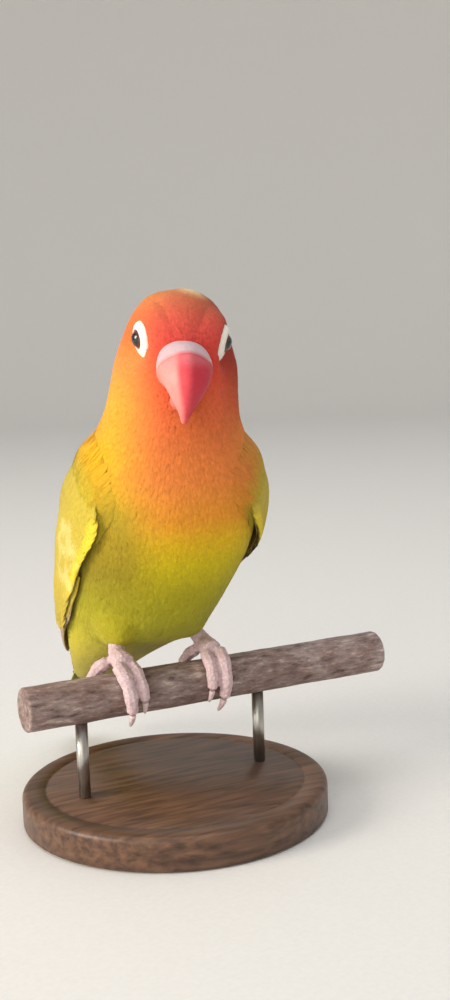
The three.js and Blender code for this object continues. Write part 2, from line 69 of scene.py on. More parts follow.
level_right = Vector((math.cos(CAMERA_YAW), -math.sin(CAMERA_YAW), 0))
level_ahead = Vector((math.sin(CAMERA_YAW), math.cos(CAMERA_YAW), 0))
ahead = level_ahead * math.cos(CAMERA_PITCH) + Vector((0, 0, math.sin(CAMERA_PITCH)))
upward = level_right.cross(ahead)
right = level_right * math.cos(CAMERA_ROLL) + upward * math.sin(CAMERA_ROLL)
camera = bpy.data.objects.new("camera", bpy.data.cameras.new("camera"))
camera.data.lens, camera.data.sensor_width = CAMERA_LENS, CAMERA_FRAME
camera.data.clip_start = CAMERA_CLIP
camera.matrix_world = Matrix.Translation(CAMERA_PLACE) @ Matrix(
    (right, right.cross(ahead), -ahead)
).transposed().to_4x4()
bpy.context.collection.objects.link(camera)
bpy.context.scene.camera = camera
bpy.context.scene.view_settings.view_transform = "Standard"
print("camera is", round((CAMERA_PLACE - TARGET).length / MM), "mm from the bird")

# %% [markdown]
# ## Small helpers
#
# Some things come up all the time. A colour is picked as an sRGB hex value, as in a paint program,
# but the shader wants it linear. A material is a handful of nodes, so one function adds a node with
# its settings and links. Paper, wood, bark and steel share one way of building: a grain drawn out
# along an axis. And each finished mesh becomes an object that rides on the one body.

# %% Helpers
def linear(code):
    """An sRGB hex colour as a linear colour with alpha."""
    parts = [int(code[i : i + 2], 16) / 255 for i in (1, 3, 5)]
    return (*[p / 12.92 if p <= 0.04045 else ((p + 0.055) / 1.055) ** 2.4 for p in parts], 1)


def tones(*codes):
    """Linear colours without alpha, a row for each sRGB hex colour."""
    return np.array([linear(code)[:3] for code in codes])


def add_node(material, kind, inputs=None, stops=(), **settings):
    """Adds a node. inputs gives a value or another node's output for each socket."""
    made = material.node_tree.nodes.new(kind)
    for name, value in settings.items():
        setattr(made, name, value)
    for socket, value in (inputs or {}).items():
        if isinstance(value, bpy.types.NodeSocket):
            material.node_tree.links.new(value, made.inputs[socket])
        else:
            made.inputs[socket].default_value = value
    for index, (place, code) in enumerate(stops):
        ramp = made.color_ramp.elements
        stop = ramp[index] if index < 2 else ramp.new(place)
        stop.position, stop.color = place, linear(code)
    return made


def new_material(name):
    """An empty material and the output that its shader goes to."""
    material = bpy.data.materials.new(name)
    material.use_nodes = True
    material.node_tree.nodes.clear()
    return material


def add_shader(material, **sockets):
    """The material's own surface shader, joined to its output."""
    named = {name.replace("_", " "): value for name, value in sockets.items()}
    shader = add_node(material, "ShaderNodeBsdfPrincipled", named)
    add_node(material, "ShaderNodeOutputMaterial", {"Surface": shader.outputs[0]})
    return shader


def grained_finish(name, stretch, grain, stops, relief=(), patches=(), rough=(), **sockets):
    """A material with a drawn-out grain. grain is the noise's settings, relief a strength and mm,
    patches a size in mm and the stops of a wide tint, and rough a span of roughness."""
    made = new_material(name)
    place = add_node(made, "ShaderNodeTexCoord").outputs["Object"]
    drawn = add_node(made, "ShaderNodeMapping", {"Vector": place, "Scale": stretch}).outputs[0]
    fibre = add_node(made, "ShaderNodeTexNoise", {"Vector": drawn, **grain}).outputs["Fac"]
    tone = add_node(made, "ShaderNodeValToRGB", {"Fac": fibre}, stops=stops).outputs[0]
    if patches:
        wide = {"Vector": place, "Scale": 1 / (patches[0] * MM), "Detail": 3.0}
        wide = add_node(made, "ShaderNodeTexNoise", wide).outputs["Fac"]
        tint = add_node(made, "ShaderNodeValToRGB", {"Fac": wide}, stops=patches[1]).outputs[0]
        tone = add_node(
            made, "ShaderNodeMix", {"Factor": 1.0, 6: tone, 7: tint}, data_type="RGBA", blend_type="MULTIPLY"
        ).outputs[2]
    if relief:
        bump = {"Height": fibre, "Strength": relief[0], "Distance": relief[1] * MM}
        sockets["Normal"] = add_node(made, "ShaderNodeBump", bump).outputs[0]
    if rough:
        span = {"Value": fibre, "To Min": rough[0], "To Max": rough[1]}
        sockets["Roughness"] = add_node(made, "ShaderNodeMapRange", span).outputs[0]
    add_shader(made, Base_Color=tone, **sockets)
    return made


def finish_piece(name, mesh, material, replaced=()):
    """Makes a mesh an object that rides on the body, with its finish, and hides the CAD nodes that it stands
    for.
    """
    piece = bpy.data.objects.new(name, mesh)
    bpy.context.collection.objects.link(piece)
    mesh.materials.clear()
    mesh.materials.append(material)
    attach(piece, "root")
    if replaced:
        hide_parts(*replaced)
    print(name, len(mesh.polygons), "faces")
    return piece


def to_mesh(name, form):
    """A finished bmesh as a smooth-shaded mesh."""
    mesh = bpy.data.meshes.new(name)
    form.to_mesh(mesh)
    form.free()
    mesh.polygons.foreach_set("use_smooth", np.ones(len(mesh.polygons), bool))
    return mesh


# %% [markdown]
# ## Studio
#
# A plain pale floor that curves up into a pale wall leaves no horizon behind the bird, whatever side
# it is seen from. It is one profile, spun all the way round. The light of the photograph comes from
# the left, in front and a little above, so the key lamp stands there. A wide lamp in front and one
# overhead fill the shadows softly.

# %% Studio
STUDIO_RADIUS, STUDIO_CURVE, STUDIO_HEIGHT = 2.4, 0.9, 2.6  # metres
FLOOR_DROP = 0.0003  # the floor lies a little under the stand
CURVE_STEPS, STUDIO_STEPS = 14, 72
ROOM_STRENGTH = 0.53


def spun_form(profile, steps, closed=False, merge=1e-6):
    """A profile of (radius, height), spun all the way round an upright axis. closed joins its ends."""
    form = bmesh.new()
    corners = [form.verts.new((radius, 0, height)) for radius, height in profile]
    edges = [form.edges.new(pair) for pair in zip(corners, corners[1:] + corners[: int(closed)])]
    bmesh.ops.spin(
        form, geom=corners + edges, cent=(0, 0, 0), axis=(0, 0, 1), angle=math.tau, steps=steps,
        use_merge=True,
    )
    bmesh.ops.remove_doubles(form, verts=form.verts, dist=merge)
    bmesh.ops.recalc_face_normals(form, faces=form.faces)
    return form


def studio_bowl():
    inner, profile = STUDIO_RADIUS - STUDIO_CURVE, [(0, -FLOOR_DROP)]
    for step in range(CURVE_STEPS + 1):
        angle = math.pi / 2 * step / CURVE_STEPS
        height = STUDIO_CURVE * (1 - math.cos(angle)) - FLOOR_DROP
        profile.append((inner + STUDIO_CURVE * math.sin(angle), height))
    form = spun_form(profile + [(STUDIO_RADIUS, STUDIO_HEIGHT - FLOOR_DROP)], STUDIO_STEPS)
    if sum(face.normal.z for face in form.faces) < 0:
        bmesh.ops.reverse_faces(form, faces=form.faces)
    return to_mesh("studio_bowl", form)


def soft_lamp(name, aside, front, height, size, power, colour):
    """A square lamp that looks at the bird. aside and front are metres as the camera sees them."""
    lamp = bpy.data.objects.new(name, bpy.data.lights.new(name, "AREA"))
    lamp.data.size, lamp.data.energy, lamp.data.color = size, power, linear(colour)[:3]
    place = level_right * aside - level_ahead * front + Vector((0, 0, height))
    look = (TARGET - place).to_track_quat("-Z", "Y").to_matrix().to_4x4()
    lamp.matrix_world = Matrix.Translation(place) @ look
    bpy.context.collection.objects.link(lamp)


studio = bpy.data.objects.new("studio_bowl", studio_bowl())
studio.data.materials.append(grained_finish(
    "matt_paper_backdrop", (1, 1, 1), {"Scale": 900.0}, [(0.3, "#e6e4e0"), (0.7, "#eae8e4")], Roughness=0.9,
))
bpy.context.collection.objects.link(studio)
soft_lamp("key_lamp", -0.95, 0.45, 0.42, 0.5, 11.2, "#fff6e8")
soft_lamp("front_lamp", -0.4, 1.3, 0.5, 0.9, 4.5, "#fffaf2")
soft_lamp("top_lamp", 0.1, 0.1, 1.5, 1.2, 7.8, "#f6f8ff")
world = bpy.data.worlds.new("soft_room")
bpy.context.scene.world = world
world.use_nodes = True
room = world.node_tree.nodes["Background"].inputs
room["Color"].default_value, room["Strength"].default_value = linear("#eef0f2"), ROOM_STRENGTH
print("the studio is", STUDIO_RADIUS * 2, "m across, with", len(bpy.data.lights), "lamps")

# %% [markdown]
# ## The form under the coat
#
# The CAD bird was lofted through stations from the crown to the tail. The same named stations are
# kept here, so that any place on the body can be told as a turn (0 at the belly, a quarter at the
# bird's left side) and a run (0 at the crown, 1 at the tail). Markings, the lie of the feathers and
# the unwrap for baking all read these two numbers.

# %% Stations of the body
EYE_LEVEL = 116.4
HEAD_PIVOT = np.array([0, -6, EYE_LEVEL - 6])
HEAD_YAW, HEAD_ROLL = 18, 4.5
HEAD_ASIDE, BODY_ASIDE = 1.8, -0.8
HEAD_TAPER, TAPER_SPREAD = 0.18, 1.6  # how much narrower the face is than the back of the head
ROUNDNESS = 2.2
STATIONS = {  # belly side y, up from the eye, back side y, up, half width
    "crown": (-8.2, 12.6, -8.2, 12.6, 0),
    "forehead": (-15.2, 10.9, -0.8, 10.6, 7.0),
    "brow": (-20.4, 6.6, 4.2, 6.2, 10.9),
    "eye": (-22.3, 0.6, 6.6, 0.6, 13.1),
    "bill": (-22.4, -5.4, 8.0, -5.0, 14.7),
    "cheek": (-21.4, -12.0, 9.4, -10.6, 15.4),
    "throat": (-21.0, -18.6, 11.4, -16.0, 16.4),
    "neck": (-21.6, -25.0, 14.0, -20.6, 18.6),
    "shoulder": (-23.0, -31.5, 16.6, -25.6, 20.6),
    "breast": (-23.8, -38.6, 20.4, -31.6, 22.1),
    "wing_bend": (-22.6, -45.6, 25.2, -38.4, 22.1),
    "upper_belly": (-18.4, -52.6, 30.2, -45.6, 21.6),
    "belly": (-13.2, -59.6, 34.8, -52.8, 20.0),
    "lower_belly": (-8.2, -66.0, 39.4, -59.4, 18.4),
    "vent": (-2.0, -71.6, 42.6, -65.8, 16.6),
    "rump": (8.0, -75.6, 45.8, -71.8, 14.8),
    "under_tail": (18.0, -79.6, 48.8, -77.4, 12.6),
    "coverts": (28.4, -84.2, 51.6, -82.8, 10.4),
    "last_coverts": (38.4, -89.2, 54.4, -87.8, 8.0),
    "covert_tips": (46.8, -93.4, 57.0, -92.0, 5.4),
    "end": (54.0, -95.4, 54.0, -95.4, 0),
}
STEPS = len(STATIONS) - 1
RUN = {name: index / STEPS for index, name in enumerate(STATIONS)}


def mix(a, b, t):
    return a + (b - a) * t


def ease(t):
    t = np.clip(t, 0, 1)
    return t * t * (3 - 2 * t)


def through(places):
    """A smooth line through some places, read with a share from 0 to 1."""
    places = np.array(places, float).reshape(len(places), -1)
    places = np.vstack([2 * places[0] - places[1], places, 2 * places[-1] - places[-2]])
    spans = len(places) - 3

    def place(share):
        reach = np.clip(np.asarray(share, float), 0, 1) * spans
        index = np.minimum(reach.astype(int), spans - 1)
        t = (reach - index)[..., None]
        a, b, c, d = (places[index + k] for k in range(4))
        start, end = (c - a) / 2, (d - b) / 2
        return b + t * (start + t * (3 * (c - b) - 2 * start - end + t * (2 * (b - c) + start + end)))

    return place


rows = np.array(list(STATIONS.values()))
belly_line, back_line = through(rows[:, 0:2]), through(rows[:, 2:4])
half_width = through(rows[:, 4])


def turned(points, tilt, twist):
    """Points that follow a share of the head's roll and yaw."""
    x, y, z = np.moveaxis(points - HEAD_PIVOT, -1, 0)
    roll, yaw = np.radians(HEAD_ROLL) * tilt, np.radians(-HEAD_YAW) * twist
    x, z = x * np.cos(roll) + z * np.sin(roll), z * np.cos(roll) - x * np.sin(roll)
    x, y = x * np.cos(yaw) - y * np.sin(yaw), x * np.sin(yaw) + y * np.cos(yaw)
    return np.stack([x, y, z], -1) + HEAD_PIVOT


def head_place(x, y, up):
    """A place on the head, given as if it looked straight ahead, up from the level of the eyes."""
    return turned(np.array([x + HEAD_ASIDE, y, EYE_LEVEL + up]), 1, 1)


def bulge(value):
    return np.sign(value) * np.abs(value) ** (2 / ROUNDNESS)


def body_point(turn, run, grow=0.0):
    """A place on the body's surface in mm, grown outwards by some mm."""
    turn, run, grow = np.broadcast_arrays(*(np.asarray(v, float) for v in (turn, run, grow)))
    front, back = belly_line(run), back_line(run)
    reach = (front - back) / 2
    deep = np.maximum(np.linalg.norm(reach, axis=-1), 1e-6)
    more = grow * np.minimum(1, deep / 2)
    angle = turn * math.tau
    tilt = 1 - ease((run - RUN["bill"]) / (RUN["breast"] - RUN["bill"]))
    twist = 1 - ease((run - RUN["bill"]) / (RUN["vent"] - RUN["bill"]))
    narrow = 1 - HEAD_TAPER * tilt * ease(np.cos(angle) * TAPER_SPREAD)
    middle = (front + back) / 2 + reach * (bulge(np.cos(angle)) * (deep + more) / deep)[..., None]
    x = bulge(np.sin(angle)) * (np.maximum(0, half_width(run)[..., 0]) * narrow + more)
    x = x + mix(BODY_ASIDE, HEAD_ASIDE, np.sqrt(tilt))
    points = np.stack([x, middle[..., 0], middle[..., 1] + EYE_LEVEL], -1)
    return turned(points, tilt, twist)


MAP_TURNS, MAP_RUNS = 200, 260
map_turn, map_run = (
    grid.ravel() for grid in np.meshgrid(np.arange(MAP_TURNS) / MAP_TURNS, np.linspace(0, 1, MAP_RUNS))
)
map_points = body_point(map_turn, map_run)
body_map = KDTree(len(map_points))
for index, point in enumerate(map_points):
    body_map.insert(point, index)
body_map.balance()
crown, tail_end = body_point(0, 0), body_point(0, 1)
print("crown at", np.round(crown, 1), "end of the coverts at", np.round(tail_end, 1))

# %% [markdown]
# ## Even meshes
#
# Some forms are joined from several solids, such as toes and a shank. They are laid over each other,
# remeshed into small even faces and smoothed. The Remesh modifier does that, and reading the
# evaluated object gives the plain mesh back. A copy of a CAD solid is loose triangles, so its doubles
# are merged first.

# %% Even meshes
def even_mesh(form, voxel, smoothing):
    """A closed form, in metres, as one mesh of small even faces. voxel is in mm."""
    worker = bpy.data.objects.new("worker", to_mesh("rough", form))
    bpy.context.collection.objects.link(worker)
    remesh = worker.modifiers.new("even", "REMESH")
    remesh.mode, remesh.voxel_size, remesh.use_smooth_shade = "VOXEL", voxel * MM, True
    if smoothing:
        calm = worker.modifiers.new("calm", "SMOOTH")
        calm.factor, calm.iterations = 0.5, smoothing
    ready = worker.evaluated_get(bpy.context.evaluated_depsgraph_get())
    mesh = bpy.data.meshes.new_from_object(ready)
    bpy.data.objects.remove(worker)
    return mesh


def solid_copies(nodes, grow=0.0):
    """Copies of some CAD nodes in one bmesh, each grown by some mm so that neighbours join."""
    form = bmesh.new()
    for name in nodes:
        single = bmesh.new()
        single.from_mesh(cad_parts[name].data)
        bmesh.ops.remove_doubles(single, verts=single.verts, dist=1e-6)
        single.normal_update()
        for vert in single.verts:
            vert.co += vert.normal * grow * MM
        copied = bpy.data.meshes.new(name + "_copy")
        single.to_mesh(copied)
        single.free()
        form.from_mesh(copied)
        bpy.data.meshes.remove(copied)
    return form


def vectors_of(rows, field):
    flat = np.empty(len(rows) * 3, np.float32)
    rows.foreach_get(field, flat)
    return flat.reshape(-1, 3).astype(float)


def points_of(mesh):
    """The points of a mesh in mm."""
    return vectors_of(mesh.vertices, "co") / MM


def normals_of(mesh):
    return vectors_of(mesh.vertex_normals, "vector")


def move_points(mesh, points):
    """Puts the points of a mesh at new places, given in mm."""
    mesh.vertices.foreach_set("co", (points * MM).astype(np.float32).ravel())
    mesh.update()


def set_colours(mesh, name, colours):
    """Keeps a linear colour for each point of a mesh, or one for all of them."""
    layer = mesh.color_attributes.new(name, "FLOAT_COLOR", "POINT")
    full = np.ones((len(mesh.vertices), 4), np.float32)
    full[:, :3] = colours
    layer.data.foreach_set("color", full.ravel())


def body_places(points):
    """The nearest turn and run on the body for each point, given in mm."""
    found = np.array([body_map.find(p)[1] for p in points])
    return map_turn[found], map_run[found]


def shaped_sphere(around, along, place):
    """A sphere whose points are moved to place(turn, run), in mm: run goes from pole to pole."""
    form = bmesh.new()
    bmesh.ops.create_uvsphere(form, u_segments=around, v_segments=along, radius=1)
    x, y, z = np.array([vert.co[:] for vert in form.verts]).T
    points = place(np.arctan2(y, x) / math.tau % 1, np.arccos(np.clip(z, -1, 1)) / math.pi)
    for vert, point in zip(form.verts, points):
        vert.co = point * MM
    bmesh.ops.recalc_face_normals(form, faces=form.faces)
    return form


def unit(vectors):
    return vectors / np.maximum(np.linalg.norm(vectors, axis=-1, keepdims=True), 1e-9)


# %% [markdown]
# ## Where the eyes look
#
# The eyes sit on the sides of the head and look outwards. Each gets a frame of its own, with its z
# axis along the line of sight, so that the ball, the ring and the feathers round it can all be
# measured from that line.

# %% Frames of the eyes
SIDES = {"right": -1, "left": 1}
EYE_LOOK, EYE_DOWN = math.radians(76), 0.2
EYE_PLACE, EYE_SHIFT, EYE_RADIUS = (7.65, -14.4, 0.9), 0.25, 3.3
LID_LEAN = math.radians(18)  # how far the top of the ring leans back
RING_RIM = 3.8  # how far the ring's foot is from the line of sight


def eye_frame(sign):
    """The matrix from an eye's own frame to the bird, in mm: long side, wide side, line of sight."""
    out = unit(np.array([sign * math.sin(EYE_LOOK), -math.cos(EYE_LOOK), -EYE_DOWN]))
    up = unit(np.array([0, 0, 1]) - out[2] * out)
    back = unit(np.cross(up, out) * sign)
    long = up * math.cos(LID_LEAN) + back * math.sin(LID_LEAN)
    axes = [turned(axis + HEAD_PIVOT, 1, 1) - HEAD_PIVOT for axis in (long, np.cross(out, long), out)]
    centre = head_place(sign * EYE_PLACE[0] + EYE_SHIFT, *EYE_PLACE[1:])
    return Matrix.Translation(centre) @ Matrix([list(a) for a in axes]).transposed().to_4x4()


EYE_FRAMES = {side: eye_frame(sign) for side, sign in SIDES.items()}


def in_eye_frame(points, side):
    """How far points are aside of a line of sight and out along it."""
    turn = np.array(EYE_FRAMES[side])
    local = (points - turn[:3, 3]) @ turn[:3, :3]
    return np.linalg.norm(local[..., :2], axis=-1), local[..., 2]


print("eyes at", [tuple(round(v, 1) for v in f.translation) for f in EYE_FRAMES.values()])

# %% [markdown]
# ## Skin
#
# Under its feathers the bird has one unbroken skin. It is a sphere whose points are moved to the
# stations of the body, drawn in by the depth of the coat, with two ovals for the thighs, remeshed as
# one. Round each eye it is led smoothly to the bare ring, as the cheek is on the bird.

# %% Skin under the coat
COAT_DEPTH = 0.5
FLESH = ("head", "neck", "torso", "thigh_right", "thigh_left")
THIGH_ASIDE, THIGH_LEAN, THIGH_Y, THIGH_UP, THIGH_SIZES = 9.6, -2.0, 7.0, -67.2, (5.0, 9.4, 7.4)
THIGHS = [
    Vector((sign * THIGH_ASIDE + THIGH_LEAN, THIGH_Y, EYE_LEVEL + THIGH_UP)) for sign in SIDES.values()
]
THIGH_REACH, THIGH_ROUNDS = 15.0, 24  # how far round a thigh the skin is smoothed, and how often
RING_LEVELS = (1.75, 2.2)  # how far out the skin may meet the ring
ORBIT = 4.6  # how far round the ring the skin is led to it


def flesh_form():
    form = shaped_sphere(120, 200, lambda turn, run: body_point(turn, run, -COAT_DEPTH))
    sizes = Matrix.Diagonal([size - COAT_DEPTH for size in THIGH_SIZES]).to_4x4()
    for centre in THIGHS:
        place = Matrix.Scale(MM, 4) @ Matrix.Translation(centre) @ sizes
        bmesh.ops.create_uvsphere(form, u_segments=32, v_segments=24, radius=1, matrix=place)
    return form


def led_to_rings(points):
    """Points of the skin, moved along the line of sight to meet the bare ring round each eye."""
    for side in SIDES:
        aside, out = in_eye_frame(points, side)
        near = np.where(out > -3, 1 - ease((aside - RING_RIM) / ORBIT), 0)
        under = 1 - ease((aside - RING_RIM + 1.0) / 0.8)
        level = mix(np.clip(out, *RING_LEVELS) - 0.3, 0.2, under)
        shift = (level - out) * near
        points = points + shift[:, None] * np.array(EYE_FRAMES[side])[:3, 2]
    return points


def soften_thighs(mesh):
    """Smooths the fold between each thigh and the flank, which long feathers hide on the bird."""
    form = bmesh.new()
    form.from_mesh(mesh)
    for centre in THIGHS:
        near = [v for v in form.verts if (v.co - centre * MM).length < THIGH_REACH * MM]
        for _ in range(THIGH_ROUNDS):
            bmesh.ops.smooth_vert(
                form, verts=near, factor=0.5, use_axis_x=True, use_axis_y=True, use_axis_z=True
            )
    form.to_mesh(mesh)
    form.free()


skin_mesh = even_mesh(flesh_form(), 0.7, 4)
soften_thighs(skin_mesh)
move_points(skin_mesh, led_to_rings(points_of(skin_mesh)))
skin_turn, skin_run = body_places(points_of(skin_mesh))
skin_form = bmesh.new()
skin_form.from_mesh(skin_mesh)
skin_surface = BVHTree.FromBMesh(skin_form)
skin_form.free()
print("skin has", len(skin_turn), "points")

# %% [markdown]
# ## Markings
#
# A lovebird's colours run into each other: red-orange from the bill over the forehead and cheeks,
# orange on the throat and breast, clear yellow on the sides of the neck, olive-yellow down the belly
# and a pale bluish rump. Lists of named colours for the front, the side and the back are
# mixed by run and turn. A fourth list makes the left cheek a deeper red, as the photograph shows it:
# partly the cheek's own red and partly painted shade on the side away from the key lamp.
# Feathers and skin read the same lists.

# %% Markings
FRONT = {
    0.00: "#c8884e", 0.05: "#c47048", 0.10: "#cc5f46", 0.14: "#da5349", 0.19: "#dc4136",
    0.25: "#e3663f", 0.31: "#e27840", 0.38: "#e88640", 0.44: "#e89930", 0.475: "#e2b622",
    0.52: "#d0bc1a", 0.58: "#aea522", 0.65: "#a4a02a", 0.71: "#bcb436", 0.80: "#b4ab3a",
    0.90: "#a39a44", 1.00: "#a0964a",
}
SIDE = {
    0.00: "#b88a46", 0.06: "#cd7c44", 0.14: "#df703c", 0.20: "#ec8c46", 0.26: "#f2a238",
    0.31: "#eca630", 0.35: "#eab21e", 0.385: "#d2a624", 0.44: "#b0962a", 0.48: "#a48c24",
    0.54: "#96861e", 0.60: "#9d951e", 0.66: "#aea424", 0.70: "#bfb52a", 0.76: "#c8ba30",
    0.82: "#b8a93c", 0.90: "#a89c44", 1.00: "#a0964a",
}
# The left cheek's colours are partly its own deeper red and partly painted shade, darker on the side away
# from the key lamp.
LEFT_CHEEK_RED_AND_SHADE = {
    0.00: "#b0803e", 0.07: "#96482c", 0.13: "#a64038", 0.20: "#9a3e2c", 0.26: "#cc5826",
    0.32: "#e48c36", 0.39: "#dcb030",
}
BACK = {
    0.00: "#b8904a", 0.08: "#a8843a", 0.18: "#a88638", 0.28: "#a89036", 0.36: "#a09034",
    0.50: "#979034", 0.66: "#98943e", 0.74: "#9ca090", 0.86: "#969e88", 0.93: "#9c9652",
    1.00: "#a0964a",
}
# In half turns: how far the front colours reach, right and left, and how far they fade into those
# of the side, on the right of the neck, the right of the breast, and the left.
FRONT_REACH, FRONT_FADE = (0.05, 0.16), (0.36, 0.2, 0.34)
CROWN_PATCH, CROWN_PATCH_SIZE, CROWN_RAISE = "#f0d49a", 5.0, 0.45
crown_patch_place = body_point(0.1, 0.038)


def colour_line(table, run):
    """A linear colour for each run, mixed from a table of named colours."""
    colours = tones(*table.values())
    return np.stack([np.interp(run, list(table), colours[:, k]) for k in range(3)], -1)


def in_crown_patch(turn, run):
    """How much a place belongs to the pale patch on the crown, from 0 to 1."""
    reach = np.linalg.norm(body_point(turn, run) - crown_patch_place, axis=-1)
    return 1 - ease(reach / CROWN_PATCH_SIZE)


def plumage(turn, run):
    """The colour of the coat at a turn and a run."""
    away = np.abs((turn + 0.5) % 1 - 0.5) * 2
    reach = np.where(turn < 0.5, FRONT_REACH[1], FRONT_REACH[0])
    fade = mix(FRONT_FADE[0], FRONT_FADE[1], ease((run - 0.36) / 0.08))
    to_side = ease((away - reach) / np.where(turn < 0.5, FRONT_FADE[2], fade))
    to_back = ease((away - 0.56) / 0.3)
    # On the left cheek the colours hold painted shade as well as the cheek's own deeper red.
    on_cheek = ease((0.5 - turn) / 0.1) * (1 - ease((run - 0.33) / 0.06))
    beside = mix(colour_line(SIDE, run), colour_line(LEFT_CHEEK_RED_AND_SHADE, run), on_cheek[..., None])
    tone = mix(colour_line(FRONT, run), beside, to_side[..., None])
    tone = mix(tone, colour_line(BACK, run), to_back[..., None])
    return mix(tone, tones(CROWN_PATCH)[0], in_crown_patch(turn, run)[..., None] * 0.9)


set_colours(skin_mesh, "plumage", plumage(skin_turn, skin_run))
print("markings from", sum(len(t) for t in (FRONT, SIDE, LEFT_CHEEK_RED_AND_SHADE, BACK)) + 1, "named colours")

# %% [markdown]
# ## What plumage is made of
#
# A feather is a matt keratin vane of fine barbs. It scatters light softly, with a faint sheen at
# grazing angles and hardly a highlight. The colour comes from the marking of each vane, broken by
# fine streaks. Real barbs are about 0.05 mm apart, too fine for this picture, so the streaks are
# drawn at about 0.4 mm. Horn and bare skin are built the same way, so one function makes them all.

# %% Plumage material
def marked_finish(name, marking, grain_mm, contrast, relief_mm, bump, grain=(4.0, 0.5), **sockets):
    """A material whose colour is a marking kept on the mesh, broken by a fine grain."""
    made = new_material(name)
    colour = add_node(made, "ShaderNodeAttribute", attribute_name=marking)
    place = add_node(made, "ShaderNodeTexCoord").outputs["Object"]
    speck = add_node(
        made, "ShaderNodeTexNoise",
        {"Vector": place, "Scale": 1 / (grain_mm * MM), "Detail": grain[0], "Roughness": grain[1]},
    ).outputs["Fac"]
    tone = add_node(
        made, "ShaderNodeMapRange",
        {"Value": speck, "From Min": 0.3, "From Max": 0.7, "To Min": 1 - contrast, "To Max": 1 + contrast},
    )
    tinted = add_node(
        made, "ShaderNodeVectorMath", {0: colour.outputs["Color"], 1: tone.outputs[0]}, operation="MULTIPLY"
    )
    relief = add_node(made, "ShaderNodeBump", {"Height": speck, "Strength": bump, "Distance": relief_mm * MM})
    add_shader(made, Base_Color=tinted.outputs[0], Normal=relief.outputs[0], **sockets)
    return made


VANE = dict(grain=(3.0, 0.6), Roughness=0.78, Sheen_Weight=0.06, Sheen_Roughness=0.5, Specular_IOR_Level=0.12)
contour_feathers = marked_finish("contour_feathers_soft_keratin", "plumage", 0.8, 0.08, 0.15, 0.3, **VANE)
finish_piece("skin_under_coat", skin_mesh, contour_feathers, FLESH)

# %% [markdown]
# ## One small vane, laid thousands of times
#
# Modelling each feather by hand is hopeless, and hair strands aren't solid. Here one closed vane of
# sixteen triangles, a low cone with a three-pointed rim, is bent along the skin at thousands of
# roots. All copies are worked out together as arrays and joined into a few meshes.

# %% The small vane
VANE_RIM = (  # share of the length, share of the width
    (0, 0.04), (0.36, 0.5), (0.83, 0.4), (0.74, 0.2), (1, 0), (0.74, -0.2), (0.83, -0.4), (0.36, -0.5),
)


def template_of(form):
    """The points and triangles of a small form, as arrays that can be copied many times."""
    bmesh.ops.triangulate(form, faces=form.faces)
    bmesh.ops.recalc_face_normals(form, faces=form.faces)
    form.verts.index_update()
    points = np.array([v.co[:] for v in form.verts])
    faces = np.array([[v.index for v in f.verts] for f in form.faces])
    form.free()
    return points, faces


def vane_template():
    """The vane's points as (along, across, height) and its triangles."""
    form = bmesh.new()
    bmesh.ops.create_cone(
        form, cap_ends=True, cap_tris=True, segments=len(VANE_RIM), radius1=1, radius2=0, depth=1,
    )
    bmesh.ops.remove_doubles(form, verts=form.verts, dist=1e-5)
    rim = sorted(
        (v for v in form.verts if math.hypot(v.co.x, v.co.y) > 0.5),
        key=lambda v: math.atan2(v.co.y, v.co.x) % math.tau,
    )
    middle = [v for v in form.verts if v not in rim]
    for vert, (along, across) in zip(rim, VANE_RIM):
        vert.co = (along, across, 0)
    for vert in middle:
        vert.co = (0.5, 0, 1 if vert.co.z > 0 else -1)
    return template_of(form)


VANE_POINTS, VANE_FACES = vane_template()
print("a small vane has", len(VANE_POINTS), "points and", len(VANE_FACES), "triangles")


def joined_mesh(name, points, faces, colours, patches, normals=None):
    """Many copies of one template as a mesh. points is (copies, template points, 3) in mm."""
    copies, size = points.shape[:2]
    corners = (faces[None] + (np.arange(copies) * size)[:, None, None]).reshape(-1)
    mesh = bpy.data.meshes.new(name)
    mesh.vertices.add(copies * size)
    mesh.vertices.foreach_set("co", (points * MM).astype(np.float32).ravel())
    mesh.loops.add(len(corners))
    mesh.loops.foreach_set("vertex_index", corners.astype(np.int32))
    mesh.polygons.add(len(corners) // 3)
    mesh.polygons.foreach_set("loop_start", np.arange(0, len(corners), 3, dtype=np.int32))
    mesh.update(calc_edges=True)
    mesh.polygons.foreach_set("use_smooth", np.ones(len(mesh.polygons), bool))
    set_colours(mesh, "plumage", colours.reshape(-1, 3))
    chart = mesh.uv_layers.new(name="OFBake")
    chart.data.foreach_set("uv", patches.reshape(-1, 2)[corners].astype(np.float32).ravel())
    if normals is not None:
        mesh.normals_split_custom_set_from_vertices(normals.reshape(-1, 3).astype(np.float32))
    return mesh


# %% [markdown]
# ## Roots and lie
#
# Feathers grow in overlapping rows that all point away from the bill: back over the crown and
# cheeks, down the breast, and on towards the tail. Each small face of the skin gets a few roots, so
# the coat is even. The lie is the direction away from the bill on the head, and the direction of the
# run on the body, both laid flat on the skin.

# %% Roots of the coat
BILL_ROOT = head_place(0, -20.5, -6.5)
BARE_RADIUS = 3.85  # no feather reaches nearer to a line of sight
BILL_GAP = 0.2


def from_eye_line(points):
    """How far points are from the line that the nearer eye looks along."""
    reach = [in_eye_frame(points, side) for side in SIDES]
    return np.minimum(*[np.where(out > -2, aside, np.inf) for aside, out in reach])


def surface_of(names):
    """A search tree of some CAD nodes, in metres."""
    form = bmesh.new()
    for name in names:
        form.from_mesh(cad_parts[name].data)
    tree = BVHTree.FromBMesh(form)
    form.free()
    return tree


def clear_of(points, tree, most=3.0):
    """How far each point is from a surface, in mm, up to most."""
    found = [tree.find_nearest(Vector(p) * MM, most * MM)[3] for p in points]
    return np.array([most if reach is None else reach / MM for reach in found])


bill_surface = surface_of(("bill_upper", "bill_lower", "cere"))


def flat_on(directions, normals):
    """Directions laid flat on a surface."""
    return unit(directions - (directions * normals).sum(-1, keepdims=True) * normals)


